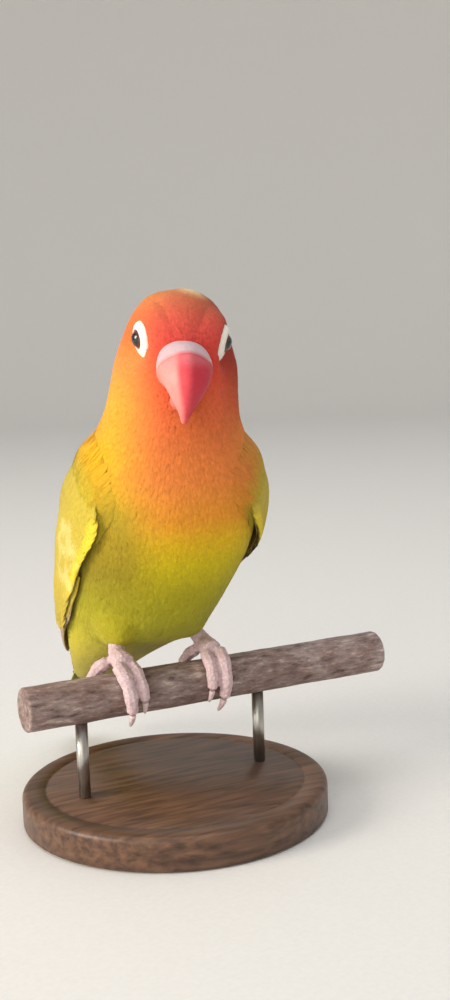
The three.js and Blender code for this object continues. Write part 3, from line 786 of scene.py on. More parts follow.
def lie_of(points, turn, run, normals):
    """The direction in which feathers point, flat on the skin."""
    down = body_point(turn, np.minimum(run + 0.01, 1)) - body_point(turn, np.maximum(run - 0.01, 0))
    away = points - BILL_ROOT
    head_share = 1 - ease((run - 0.17) / 0.16)
    return flat_on(mix(unit(down), unit(away), head_share[:, None]), normals)


def spread_roots(mesh, density):
    """Roots spread evenly over a mesh in mm, with the number for each mm2 from density(points)."""
    mesh.calc_loop_triangles()
    corners = np.empty(len(mesh.loop_triangles) * 3, np.int32)
    mesh.loop_triangles.foreach_get("vertices", corners)
    points, normals = points_of(mesh), normals_of(mesh)
    a, b, c = (points[corners[k::3]] for k in range(3))
    area = np.linalg.norm(np.cross(b - a, c - a), axis=-1) / 2
    count = np.floor(area * density((a + b + c) / 3) + random.random(len(area))).astype(int)
    picked = np.repeat(np.arange(len(area)), count)
    s, t = random.random((2, len(picked), 1))
    s, t = np.where(s + t > 1, 1 - s, s), np.where(s + t > 1, 1 - t, t)

    def blend(values):
        first, second, third = (values[corners[k::3]][picked] for k in range(3))
        return mix(first, second, s) + t * (third - first)

    return blend(points), unit(blend(normals))


# Sizes of feathers: (run, length, width, feathers for each mm2)
SIZES = np.array([
    (0.00, 2.4, 0.68, 6.5),
    (0.10, 2.1, 0.62, 8.5),
    (0.20, 2.3, 0.68, 7.8),
    (0.30, 3.2, 0.82, 5.6),
    (0.40, 4.2, 1.00, 4.4),
    (0.55, 5.4, 1.20, 3.3),
    (0.70, 6.6, 1.45, 2.4),
    (1.00, 8.0, 1.90, 1.4),
])


def size_at(run, column):
    return np.interp(run, SIZES[:, 0], SIZES[:, column])


roots, root_normals = spread_roots(skin_mesh, lambda points: size_at(body_places(points)[1], 3))
root_turn, root_run = body_places(roots)
keep = (from_eye_line(roots) > BARE_RADIUS) & (clear_of(roots, bill_surface) > BILL_GAP)
roots, root_normals, root_turn, root_run = (v[keep] for v in (roots, root_normals, root_turn, root_run))
print(len(roots), "roots")

# %% [markdown]
# ## Laying the coat
#
# Each vane starts a little under the skin, follows it and lifts off slightly at its tip, so the next
# row shows from under it. The middle and the tip are found as the nearest places on the skin. Tips
# that would cover the bare ring round an eye are shortened.

# %% Coat
VANE_THICKNESS = 0.1  # share of the width, over and under the vane's middle
VANE_SWAY, VANE_ROUND = 0.045, 0.35  # how much the shading normals stray, and lean to the sides
ROOT_DEPTH = 0.1
PATCH = 0.003  # the size of a vane's own patch in the unwrap


def on_skin(points, heights):
    """The nearest places on the skin in mm, raised along the normals there."""
    found = [skin_surface.find_nearest(Vector(p) * MM)[:2] for p in points]
    places = np.array([place[:] for place, _ in found]) / MM
    normals = np.array([normal[:] for _, normal in found])
    return places + normals * heights[:, None], normals


def bend_vanes(root, middle, tip, normal, tip_normal, width):
    """Bends a vane through a root, a middle and a tip. Returns points and soft normals."""
    along, across, height = (VANE_POINTS[None, :, k, None] for k in range(3))
    curve = (
        root[:, None] * (1 - along) * (1 - 2 * along)
        + middle[:, None] * 4 * along * (1 - along)
        + tip[:, None] * along * (2 * along - 1)
    )
    upright = unit(mix(normal[:, None], tip_normal[:, None], along))
    side = unit(np.cross(normal, tip - root))[:, None]
    width = width[:, None, None]
    points = curve + side * across * width + upright * height * width * VANE_THICKNESS
    sway = random.normal(0, VANE_SWAY, (len(root), 1, 3))
    shade = unit(upright * np.where(height < -0.5, -1, 1) + side * across * VANE_ROUND + sway)
    return points, shade


def lay_vanes(start, normal, lie, length, width, lift):
    """Lays a vane on the skin from each root along its lie."""
    middle, _ = on_skin(start + lie * length[:, None] * 0.5, lift * 0.7)
    onward = unit(middle - start) * length[:, None] * 0.5
    tip, tip_normal = on_skin(middle + onward, lift)
    return bend_vanes(start - normal * ROOT_DEPTH, middle, tip, normal, tip_normal, width)


def vane_colours(tone, roots):
    """Colours for the points of some vanes: a little different each, and paler at the tips."""
    patchy = np.array([noise.noise(Vector(p) * 0.12) for p in roots])
    tone = tone * (1 + 0.05 * patchy[:, None]) * random.normal(1, 0.035, (len(roots), 1))
    shaft = mix(0.93, 1.02, ease(VANE_POINTS[:, 0] * 1.1))
    return np.clip(tone[:, None] * shaft[None, :, None], 0, 1)


def vane_patches(turn, run):
    """A small patch of the unwrap for each vane, at its root's turn and run."""
    return np.stack([turn, run], -1)[:, None] + (VANE_POINTS[None, :, [1, 0]] - np.array([0, 0.5])) * PATCH


# %% Lay the coat
lie = lie_of(roots, root_turn, root_run, root_normals)
lie = flat_on(lie + random.normal(0, 0.07, lie.shape), root_normals)
near_face = ease((clear_of(roots, bill_surface, 6.0) - BILL_GAP) / 5.0)
near_eye = ease((from_eye_line(roots) - BARE_RADIUS) / 4.0)
small = mix(0.45, 1, np.minimum(near_face, near_eye))
length = size_at(root_run, 1) * small * random.uniform(0.8, 1.2, len(roots))
width = size_at(root_run, 2) * mix(0.75, 1, small) * random.uniform(0.85, 1.15, len(roots))
lift = COAT_DEPTH * mix(0.3, 1.0, small * ease(root_run / 0.4)) * random.uniform(0.85, 1.1, len(roots))
lift += CROWN_RAISE * in_crown_patch(root_turn, root_run)
for _ in range(3):
    over = from_eye_line(roots + lie * length[:, None]) < BARE_RADIUS
    length = np.where(over, length * 0.6, length)
keep = from_eye_line(roots + lie * length[:, None]) > BARE_RADIUS - 0.15
roots, root_normals, lie, root_turn, root_run, length, width, lift = (
    v[keep] for v in (roots, root_normals, lie, root_turn, root_run, length, width, lift)
)
vane_points, vane_shade = lay_vanes(roots, root_normals, lie, length, width, lift)

coat_colours = vane_colours(plumage(root_turn, root_run), roots)
coat_patches = vane_patches(root_turn, root_run)
REGIONS = {
    "face": (0.0, 0.17, "feathers_head"),
    "cheek": (0.17, 0.27, "feathers_head"),
    "neck": (0.27, 0.38, "feathers_neck"),
    "breast": (0.38, 0.50, "feathers_body"),
    "belly": (0.50, 0.66, "feathers_body"),
    "rump": (0.66, 1.01, "feathers_body"),
}
for region, (first, last, slot) in REGIONS.items():
    for side in SIDES:
        here = (root_run >= first) & (root_run < last) & ((root_turn < 0.5) == (side == "left"))
        mesh = joined_mesh(
            f"plumage_{region}_{side}", vane_points[here], VANE_FACES, coat_colours[here],
            coat_patches[here], vane_shade[here],
        )
        finish_piece(mesh.name, mesh, contour_feathers)

# %% [markdown]
# ## Wings
#
# A folded wing is a stack of tiers like roof tiles: small coverts at the bend, longer coverts below
# them, then the flight feathers that run to the tip. Each vane here is a thin arched plate with a
# shaft. The template is a grid given thickness by solidify, and its copies are laid on the wing's own
# curved surface, which follows the body.

# %% The wing's surface
WING_LOWER_TURN = through([0.165, 0.157, 0.208, 0.248, 0.27, 0.34, 0.43])
WING_UPPER_TURN = through([0.37, 0.43, 0.45, 0.46, 0.465, 0.47, 0.48])
WING_START, WING_TIP, WING_CORNER = (0.385, 0.36), 0.94, 0.035  # runs at the bend, the tip, a corner
WING_EDGE, WING_CLEAR, WING_RISE = 1.25, 0.78, 0.5  # mm over the body
LOOSE_FORWARD = 0.055  # how far, in turns, the left wing's bend hangs forward


def wing_place(sign, along, across):
    """Turn and run of a place on a folded wing: along from bend to tip, across from its lower edge."""
    loose = 1 - ease(along * 2.2) if sign > 0 else 0
    lower = WING_LOWER_TURN(along)[..., 0] - LOOSE_FORWARD * loose
    turn = mix(lower, WING_UPPER_TURN(along)[..., 0], across)
    corner = WING_CORNER * (2 * across - 1) ** 2 * (1 - ease(along * 5))
    return turn, mix(mix(*WING_START, across) + corner, WING_TIP, along)


def own_side(sign, turn):
    """A turn on the left side, mirrored for the right."""
    return turn if sign > 0 else 1 - turn


def wing_point(sign, along, across, lift):
    """A place on a folded wing in mm, with its turn and run."""
    turn, run = wing_place(sign, along, across)
    swell = np.sin(np.pi * mix(0.12, 0.94, np.clip(across, 0, 1)))
    ends = np.minimum(ease((along + 0.06) * 5), mix(1, 0.45, ease((along - 0.6) / 0.4)))
    height = np.maximum(WING_EDGE + WING_RISE * swell * ends + lift, WING_CLEAR)
    turn = own_side(sign, turn)
    return body_point(turn, run, height), turn, run


def plate_template(across, along):
    """A thin closed plate as (u, v, side) points, side 0 on top and 1 below, and its triangles."""
    form = bmesh.new()
    bmesh.ops.create_grid(form, x_segments=across, y_segments=along, size=0.5)
    bmesh.ops.solidify(form, geom=form.verts[:] + form.edges[:] + form.faces[:], thickness=0.1)
    points, faces = template_of(form)
    points[:, :2] += 0.5
    heights = points[:, 2]
    points[:, 2] = np.where(heights > heights.mean(), 0, 1)
    return np.clip(points, 0, 1), faces


def round_tip(v, side_share, start):
    """How a plate narrows towards its round tip, from some share of its length on."""
    near_tip = np.clip((v - start) / (1 - start), 0, 1) ** 2
    return np.sqrt(np.clip(1 - near_tip * side_share**2 * 0.8, 0.05, 1))


PLATE_POINTS, PLATE_FACES = plate_template(6, 9)
print("a plate has", len(PLATE_FACES), "triangles")

# %% [markdown]
# ## Tiers
#
# Each tier is given by its first and last feather, from the lower edge of the wing up to the back.
# Feathers between them are mixed. The small coverts nearer the bend are too many for that. They are
# the same small vanes as on the body, laid over the upper half of the wing.

# %% Tiers of the wing
WING_TIERS = {
    "primaries": dict(
        count=9, roots=((0.52, 0.10), (0.5, 0.72)), tips=((0.86, 0.06), (1.0, 0.78)),
        half=0.085, lift=(-0.35, 0.3), taper=0.25,
    ),
    "secondaries": dict(
        count=10, roots=((0.36, 0.05), (0.4, 0.94)), tips=((0.66, 0.03), (0.82, 0.9)),
        half=0.09, lift=(-0.3, 0.45), taper=0.5,
    ),
    "greater_coverts": dict(
        count=12, roots=((0.36, 0.04), (0.4, 0.95)), tips=((0.6, 0.04), (0.68, 0.9)),
        half=0.08, lift=(-0.3, 0.55), taper=0.6,
    ),
}

COVERT, PALE, FLIGHT, FLIGHT_EDGE, EDGE_YELLOW, WING_GREEN, BLEACHED = tones(
    "#c3ad40", "#dcc668", "#ad9478", "#d8bca4", "#eacf3c", "#a0983a", "#e6d486"
)
WING_SPOTS, WING_SPOT_SIZE = ((0.2, 0.88), (0.24, 0.2), (0.37, 0.1)), 6.5  # along, across; mm
GREENER = {"primaries": 0.25, "secondaries": 0.85}  # how green the flight feathers are at the back


def wing_tone(name, along, across, v, side_share, spread):
    """The colour of a place on a vane of the wing."""
    rim = np.maximum(ease((np.abs(side_share) - 0.72) / 0.28), ease((v - 0.86) / 0.14))[..., None]
    if name in GREENER:
        back = ease((across - 0.35) / 0.5)[..., None]
        middle = mix(FLIGHT, WING_GREEN, back * GREENER[name])
        tone = mix(middle, mix(FLIGHT_EDGE, COVERT, back), rim * 0.7)
    else:
        tone = mix(mix(COVERT, WING_GREEN, ease((across - 0.3) / 0.6)[..., None]), PALE, rim * 0.5)
    leading = 1 - ease((across - 0.02) / 0.05)
    leading = leading * ease((along - 0.08) / 0.08) * (1 - ease((along - 0.36) / 0.12))
    return mix(tone, EDGE_YELLOW, (leading * 0.9)[..., None]) * spread


def worn_share(sign, points):
    """How far the wing is bleached at some places."""
    spots = [wing_point(sign, np.array(along), np.array(across), 0.8)[0] for along, across in WING_SPOTS]
    reach = np.min([np.linalg.norm(points - spot, axis=-1) for spot in spots], axis=0)
    ragged = np.array([noise.noise(Vector(p) * 0.35) for p in points])
    return 0.65 * (1 - ease(reach / WING_SPOT_SIZE + ragged * 1.1))


def lay_wing(sign):
    """All vanes of one wing: points, colours and patches."""
    found = []
    u, v, below = (PLATE_POINTS[None, :, k] for k in range(3))
    side_share = u * 2 - 1
    for name, tier in WING_TIERS.items():
        share = np.linspace(0, 1, tier["count"]) + random.uniform(-0.015, 0.015, tier["count"])
        share = share[:, None]
        root, tip = (
            [mix(tier[key][0][k], tier[key][1][k], share) for k in range(2)] for key in ("roots", "tips")
        )
        jitter = random.uniform(-0.012, 0.012, share.shape)
        width = tier["half"] * mix(0.62, 1, ease(v / 0.35)) * np.sqrt(mix(1, tier["taper"], ease(v * 2 - 1)))
        across = mix(root[1], tip[1], v) + side_share * width * round_tip(v, side_share, 0.8)
        along = mix(root[0], tip[0] + jitter, v) - 0.018 * side_share**2 * v
        arch = 0.14 * (1 - side_share**2) - 0.05 + 0.2 * side_share
        shaft = 0.07 * np.maximum(0, 1 - np.abs(side_share) * 4)
        lift = mix(tier["lift"][0], tier["lift"][1], v) + arch + shaft - 0.24 * below
        points, turn, run = wing_point(sign, along, across, lift)
        spread = random.normal(1, 0.035, (len(share), 1, 1)) * mix(0.8, 1.04, ease(v * 1.4))[..., None]
        tone = wing_tone(name, along, across, v, side_share, spread)
        patch = np.stack([turn[:, :1] + side_share * PATCH, run[:, :1] + v * PATCH], -1)
        tone = mix(tone, BLEACHED, worn_share(sign, points.mean(axis=1))[:, None, None])
        found.append((name, points, np.clip(tone, 0, 1), patch))
    return found


def wing_base(sign, name):
    """The closed plate under the vanes of one wing."""
    form = bmesh.new()
    bmesh.ops.create_grid(form, x_segments=14, y_segments=34, size=0.5)
    flat = np.array([vert.co[:] for vert in form.verts]) + 0.5
    for vert, point in zip(form.verts, wing_point(sign, flat[:, 1] * 0.86, flat[:, 0], -0.25)[0]):
        vert.co = point * MM
    bmesh.ops.solidify(form, geom=form.verts[:] + form.edges[:] + form.faces[:], thickness=0.3 * MM)
    bmesh.ops.recalc_face_normals(form, faces=form.faces)
    mesh = to_mesh(name, form)
    # The plate takes the covert colour at six tenths, as painted shade for the gaps between the vanes above
    # it.
    set_colours(mesh, "plumage", COVERT * 0.6)
    return mesh


CONTOUR_COUNT, CONTOUR_END = 5400, 0.54
CONTOUR_LENGTH, CONTOUR_WIDTH = (0.05, 0.08), (1.4, 2.2)  # share of the wing's length, and mm
CONTOUR_LIFTS = (0.0, 0.7, 0.9)


def wing_contour(sign):
    """The small coverts that hide the upper half of the wing: points, normals, tones and patches."""
    along = random.uniform(-0.02, CONTOUR_END, CONTOUR_COUNT) * random.normal(1, 0.05, CONTOUR_COUNT)
    across = random.uniform(0.0, 1.05, CONTOUR_COUNT)
    share = np.clip(along / CONTOUR_END, 0, 1)
    length = mix(*CONTOUR_LENGTH, share) * random.uniform(0.85, 1.15, CONTOUR_COUNT)
    width = mix(*CONTOUR_WIDTH, share) * random.uniform(0.85, 1.1, CONTOUR_COUNT)
    raised = mix(0.3, 1, ease(along / 0.08))
    low = 1.3 * ease((across - 0.82) / 0.2)  # towards the back the wing lies down on the body
    places = [
        (along + length * part, across + 0.01 * part, lift * raised - low)
        for part, lift in zip((0, 0.5, 1), CONTOUR_LIFTS)
    ]
    root, middle, tip = (wing_point(sign, *place)[0] for place in places)
    normal, tip_normal = (
        unit(wing_point(sign, a, b, c + 1)[0] - wing_point(sign, a, b, c)[0])
        for a, b, c in (places[0], places[2])
    )
    points, shade = bend_vanes(root, middle, tip, normal, tip_normal, width)
    tone = wing_tone("contour", along + length * 0.6, across, 0 * along, 0 * along, 1.0)
    tone = mix(tone, BLEACHED, worn_share(sign, middle)[:, None])
    return points, shade, vane_colours(tone, root), vane_patches(*wing_point(sign, along, across, 0)[1:])


# %% Lay the wings
flight_feathers = marked_finish("flight_feathers_stiff_keratin", "plumage", 0.7, 0.06, 0.15, 0.3, **VANE)
for side, sign in SIDES.items():
    finish_piece(
        f"wing_{side}_base", wing_base(sign, f"wing_{side}_base"), flight_feathers,
        [f"wing_{side}"],
    )
    laid = lay_wing(sign)
    for group, members in (("flights", laid[:2]), ("coverts", laid[2:])):
        points, tone, patches = (np.concatenate([row[k] for row in members]) for k in (1, 2, 3))
        name = f"wing_{side}_{group}"
        faces = PLATE_FACES if sign > 0 else PLATE_FACES[:, ::-1]
        mesh = joined_mesh(name, points, faces, tone, patches)
        finish_piece(name, mesh, flight_feathers)
    points, shade, tone, patches = wing_contour(sign)
    mesh = joined_mesh(f"wing_{side}_contour", points, VANE_FACES, tone, patches, shade)
    finish_piece(mesh.name, mesh, contour_feathers)

# %% [markdown]
# ## Feathers over the shoulder
#
# On the living bird no edge shows where the wing leaves the shoulder, because the feathers of the
# breast lie over it. A few rows of the small vanes are laid along the wing's front edge. Their places
# are worked out as turn, run and height over the body, so that they climb from the coat to the wing.

# %% Feathers over the wing's front edge
SHOULDER_ROWS, SHOULDER_FIRST, SHOULDER_STEP = 8, -5.8, 0.9
SHOULDER_LENGTH, SHOULDER_WIDTH, SHOULDER_COUNT = 4.6, 1.25, 120
SHOULDER_END = {"right": 0.2, "left": 0.17}  # how far along the wing's lower edge they go
SHOULDER_TONE = "#bea830"
TURN_PER_MM, RUN_PER_MM = 1 / 132, 1 / 150


def front_edge(sign, share, end):
    """The wing's front edge as (turn, run): from the back down to its bend, then along it."""
    return wing_place(sign, np.clip(share * 2 - 1, 0, 1) * end, np.clip(1 - share * 2, 0, 1))


def ramp(place):
    """The height over the body at a distance in mm past the wing's edge."""
    return mix(0.3, WING_EDGE + 0.85, ease((place + 5.4) / 6.8))


def shoulder_vanes(side, sign):
    """The vanes over one shoulder: points, normals, tones and patches."""
    share = np.concatenate([
        np.linspace(0, 1, SHOULDER_COUNT) + random.uniform(-0.004, 0.004, SHOULDER_COUNT)
        for _ in range(SHOULDER_ROWS)
    ])
    row = np.repeat(np.arange(SHOULDER_ROWS), SHOULDER_COUNT)
    turn, run = front_edge(sign, share, SHOULDER_END[side])
    start = SHOULDER_FIRST + SHOULDER_STEP * row + random.uniform(-0.5, 0.5, len(row))
    fade = ease((share - 0.62) / 0.38)
    slant = mix(0.12, 0.5, ease((share - 0.35) / 0.3)) + random.normal(0, 0.07, len(row))
    length = SHOULDER_LENGTH * random.uniform(0.85, 1.15, len(row))
    places = []
    for part in (0, 0.5, 1):
        reach = start - fade * 2.0 + length * part
        here_turn = turn + reach * slant * TURN_PER_MM
        here_run = run + reach * np.sqrt(1 - slant**2) * RUN_PER_MM
        height = mix(ramp(reach), 0.35, fade) + mix(-0.45, 0.12, part) * mix(1, 0.75, part)
        places.append((own_side(sign, here_turn), here_run, height))
    root, middle, tip = (body_point(*place) for place in places)
    normal, tip_normal = (
        unit(body_point(*place[:2], place[2] + 1) - body_point(*place)) for place in (places[0], places[2])
    )
    width = SHOULDER_WIDTH * random.uniform(0.8, 1.15, len(row))
    points, shade = bend_vanes(root, middle, tip, normal, tip_normal, width)
    wing_share = ease((start + length * 0.6 + 2.2) / 5.0 + random.normal(0, 0.12, len(row)))[:, None]
    tone = mix(plumage(*places[0][:2]), tones(SHOULDER_TONE)[0], wing_share)
    return points, shade, vane_colours(tone, root), vane_patches(*places[0][:2])


for side, sign in SIDES.items():
    points, shade, tone, patches = shoulder_vanes(side, sign)
    mesh = joined_mesh(f"plumage_shoulder_{side}", points, VANE_FACES, tone, patches, shade)
    finish_piece(mesh.name, mesh, contour_feathers)

# %% [markdown]
# ## Tail
#
# The short tail is a fan of twelve feathers in pairs, the middle pair on top. The same plate is laid
# on a slightly arched plane that slopes down behind the perch.

# %% Tail
TAIL_ROOT = np.array([0, 36, EYE_LEVEL - 69])
TAIL_TIP = np.array([0, 68, EYE_LEVEL - 107])
TAIL_HALF_WIDTHS, TAIL_ARCH, TAIL_PAIRS = (7.2, 8.8), 1.6, 6
tail_ahead = TAIL_TIP - TAIL_ROOT
tail_up = unit(np.array([0, -tail_ahead[2], tail_ahead[1]]))
TAIL_GREEN, TAIL_EDGE, TAIL_BAR = tones("#9a9c48", "#c2bd72", "#c98a52")


def tail_vanes():
    """The twelve feathers of the tail: points, colours and patches."""
    u, v, below = (PLATE_POINTS[None, :, k] for k in range(3))
    side_share = u * 2 - 1
    pair = np.repeat(np.arange(TAIL_PAIRS), 2)[:, None]
    sign = np.tile([-1, 1], TAIL_PAIRS)[:, None]
    out = (pair + 0.5) / TAIL_PAIRS
    under = np.where(sign > 0, 0, 0.012)
    tip_run = 0.995 - 0.13 * out**2 - under
    width = 0.25 * mix(0.7, 1, ease(v / 0.4)) * np.sqrt(mix(1, 0.4, ease(v * 2 - 1)))
    across = mix(sign * out * 0.6, sign * out * 0.86, v) + side_share * width * round_tip(v, side_share, 0.85)
    run = mix(0.34, tip_run, v) - 0.02 * side_share**2 * v
    lift = mix(0.5 - pair * 0.42, 1.2 - pair * 0.36 - under * 10, v)
    lift = lift + 0.2 * (1 - side_share**2) - 0.4 * below
    points = TAIL_ROOT + tail_ahead * run[..., None] + tail_up * (lift - TAIL_ARCH * across**2)[..., None]
    points[..., 0] += across * mix(*TAIL_HALF_WIDTHS, run)
    rim = np.maximum(ease((np.abs(side_share) - 0.7) / 0.3), ease((v - 0.9) / 0.1))[..., None]
    band = (ease((v - 0.62) / 0.1) * (1 - ease((v - 0.78) / 0.08)))[..., None] * (pair > 0)[..., None]
    tone = mix(mix(TAIL_GREEN, TAIL_EDGE, rim * 0.6 + 0 * across[..., None]), TAIL_BAR, band * 0.35)
    patch = np.stack([0.5 + 0.02 * across[:, :1] + side_share * PATCH, 0.97 + v * PATCH + 0 * across], -1)
    return points, tone, patch


def tail_core():
    """The closed core that the tail feathers lie on."""
    mesh = even_mesh(solid_copies(["tail"]), 0.45, 2)
    move_points(mesh, points_of(mesh) - normals_of(mesh) * 0.35)
    # The core takes the tail green at eight tenths, as painted shade for the gaps between the feathers over
    # it.
    set_colours(mesh, "plumage", TAIL_GREEN * 0.8)
    return mesh


points, tone, patches = tail_vanes()
mesh = joined_mesh("tail_feathers", points, PLATE_FACES, tone, patches)
finish_piece("tail_feathers", mesh, flight_feathers)
finish_piece("tail_core", tail_core(), flight_feathers, ["tail"])

# %% [markdown]
# ## Bill and cere
#
# The bill is horn over bone: smooth and slightly waxy, coral red. Its colours hold painted light: one
# flank is paler, partly where the horn flakes and partly as painted light from the key lamp, and the
# other side is a crimson of painted shade; the lower half is darkened as painted shade. Both halves are
# spheres whose points are moved along a curved line, with a ridge on top. The cere is the bare white
# root of the upper bill: the same form, swollen a little, cut off by a slanted plane and remeshed so
# that its edge turns soft. Two small pits are its nostrils, painted dark as painted shade inside them.

# %% Bill and cere
UPPER_BILL = (  # y, up from the eye, half width, half height
    (-19.5, -5.6, 5.4, 5.2), (-22.6, -5.4, 6.0, 5.6), (-25.8, -6.4, 5.9, 5.4), (-28.3, -9.0, 5.0, 4.5),
    (-28.9, -12.2, 3.3, 3.2), (-28.0, -15.2, 1.55, 1.8), (-26.8, -18.0, 0.5, 0.5),
)
LOWER_BILL = (
    (-18.0, -12.7, 3.0, 2.2), (-21.0, -13.0, 2.7, 2.3), (-23.6, -13.1, 2.1, 2.0), (-25.0, -12.8, 1.1, 1.2),
)
CULMEN = 0.3  # how much narrower the bill is along its ridge
CERE_SWELL, CERE_Y, CERE_SLANT = 0.2, -32.2, -1.15  # mm; the cere's front edge and how it slants
ROOT_SQUARE = 0.22  # how square the root of the bill is in section
NOSTRILS = [head_place(sign * 2.15, -25.2, 1.0) for sign in SIDES.values()]


def bill_form(places, grow, ridge, around=72, along=64):
    """A sphere led along a bent line through some places, grown by some mm, with a ridge on top."""
    rows = np.array(places)
    line, size = through(rows[:, :2]), through(rows[:, 2:])

    def place(turn, run):
        end = np.minimum(run, 1 - run)
        full = np.minimum(1, np.sqrt(end * (1 - end)) * 6)
        onward = np.maximum(0, 1 - end * 5) * np.sign(run - 0.5)
        c, s = np.cos(turn * math.tau), np.sin(turn * math.tau)
        square = 1 - ROOT_SQUARE * (1 - ease(run / 0.5)) * np.sign(ridge)
        c, s = (np.sign(v) * np.abs(v) ** square * full for v in (c, s))
        step = unit(line(np.minimum(run + 1e-3, 1)) - line(np.maximum(run - 1e-3, 0)))
        wide, high = np.moveaxis(size(run), -1, 0)
        y, up = np.moveaxis(line(run), -1, 0)
        x = HEAD_ASIDE + (wide * (1 - ridge * ease(run / 0.4) * np.maximum(0, s) ** 2) + grow) * c
        y = y + step[:, 1] * (high + grow) * s + step[:, 0] * grow * onward
        up = up - step[:, 0] * (high + grow) * s + step[:, 1] * grow * onward
        return turned(np.stack([x, y, up + EYE_LEVEL], -1), 1, 1)

    return shaped_sphere(around, along, place)


def turned_back(points):
    """Points of the head as if it looked straight ahead."""
    yaw, roll = math.radians(HEAD_YAW), math.radians(HEAD_ROLL)
    x, y, z = np.moveaxis(points - HEAD_PIVOT, -1, 0)
    x, y = x * math.cos(yaw) - y * math.sin(yaw), x * math.sin(yaw) + y * math.cos(yaw)
    x, z = x * math.cos(roll) - z * math.sin(roll), z * math.cos(roll) + x * math.sin(roll)
    return np.stack([x, y, z], -1) + HEAD_PIVOT


def bill_tone(points):
    """The bill's colours: a pale flank on the right, partly flaking horn and partly painted light, a coral
    ridge and a crimson left side of painted shade.
    """
    local = turned_back(points)
    aside, up = local[:, 0] - HEAD_ASIDE, local[:, 2] - EYE_LEVEL
    # The pale flank on the right is partly painted light from the key lamp, and the crimson on the left is
    # painted shade.
    flank, coral, crimson, tip, root = tones("#ec938c", "#e04a54", "#c83042", "#e67c6c", "#d8888c")
    shift = ease((up + 18) / 12) * 1.9 + 0.9  # the pale flank narrows towards the tip
    tone = mix(flank, coral, ease((aside + shift + 0.35) / 1.6)[:, None])
    tone = mix(tone, crimson, ease((aside + 0.1) / 1.6)[:, None])
    tone = mix(tone, root, ease((up + 6.0) / 2.6)[:, None] * 0.35)
    return mix(tone, tip, (1 - ease((up + 18.5) / 3.0))[:, None] * 0.5)


def cere_mesh():
    """The bare root of the upper bill, cut off by a slanted plane."""
    form = bill_form(UPPER_BILL, CERE_SWELL, CULMEN)
    corner, low, across = (
        Vector(head_place(x, CERE_Y + up * CERE_SLANT, up)) for x, up in ((0, 0), (0, -8), (5, 0))
    )
    plane = (low - corner).cross(across - corner).normalized()
    if plane.dot(Vector(head_place(0, -60, 0)) - corner) < 0:
        plane.negate()
    bmesh.ops.bisect_plane(
        form, geom=form.verts[:] + form.edges[:] + form.faces[:], plane_co=corner * MM, plane_no=plane,
        clear_outer=True,
    )
    bmesh.ops.holes_fill(form, edges=[e for e in form.edges if e.is_boundary], sides=0)
    mesh = even_mesh(form, 0.16, 5)
    points, normals = points_of(mesh), normals_of(mesh)
    pit = np.maximum(*[1 - ease((np.linalg.norm(points - n, axis=1) - 0.25) / 0.5) for n in NOSTRILS])
    soft = np.array([noise.noise(Vector(p) * 0.9) for p in points])
    move_points(mesh, points - normals * (0.5 * pit + 0.05 * soft)[:, None])
    # The dark tone is painted shade for the inside of the nostril openings.
    pale, dark = tones("#cbb1b6", "#6d4a48")
    front = (points - np.array(corner)) @ np.array(plane)
    tone = mix(pale, bill_tone(points), ease((front + 1.5) / 1.5)[:, None] * 0.9)
    # Painted shade darkens the nostril pits.
    set_colours(mesh, "bare", mix(tone, dark, pit[:, None]))
    return mesh


def bill_mesh(name, places, ridge):
    """One half of the bill."""
    mesh = to_mesh(name, bill_form(places, 0, ridge))
    # The lower half gets the same colours darkened to three quarters, as painted shade under the upper half.
    set_colours(mesh, "horn", bill_tone(points_of(mesh)) * (1 if ridge else 0.75))
    return mesh


# %% Horn and bare skin
horn = marked_finish(
    "bill_horn_waxy_keratin", "horn", 0.9, 0.06, 0.08, 0.3, Roughness=0.5, Specular_IOR_Level=0.35,
    Subsurface_Weight=0.15, Subsurface_Radius=(0.9, 0.35, 0.25), Subsurface_Scale=0.8 * MM,
    Coat_Weight=0.08, Coat_Roughness=0.3,
)
bare_skin = marked_finish(
    "bare_skin_finely_wrinkled", "bare", 0.5, 0.05, 0.1, 0.4, Roughness=0.55, Subsurface_Weight=0.2,
    Subsurface_Radius=(0.8, 0.4, 0.3), Subsurface_Scale=0.8 * MM,
)
for name, places, ridge in (("bill_upper", UPPER_BILL, CULMEN), ("bill_lower", LOWER_BILL, 0)):
    finish_piece(f"{name}_horn", bill_mesh(f"{name}_horn", places, ridge), horn, [name])
finish_piece("cere_skin", cere_mesh(), bare_skin, ["cere"])

# %% [markdown]
# ## Eyes
#
# The eye is a glossy ball, nearly black with a dark brown iris, under a soft white ring of bare lids.
# The ball is a sphere, and its colours depend on how far a place is from the line of sight. The ring
# is a smooth profile spun round that line, drawn out to a point towards the bill.

# %% Eyes and rings
IRIS_RADIUS, PUPIL_RADIUS = 2.6, 1.5
CORNEA_BULGE, CORNEA_START = 0.7, 0.68
RING_PROFILE = (  # distance from the line of sight, height over the middle of the ball
    (3.3, -0.4), (3.7, -0.4), (3.84, 0.9), (3.74, 1.7), (3.45, 2.25), (3.05, 2.6), (2.6, 2.8),
    (2.2, 2.85), (2.06, 2.68), (2.45, 2.25), (3.1, 1.3),
)
RING_LENGTHEN, RING_ROWS, RING_STEPS = 1.07, 44, 96
RING_POINT, RING_POINT_START, RING_POINT_ANGLE = 0.16, 2.3, math.radians(178)
CREASE = 0.03  # the wrinkles of the lids, in mm


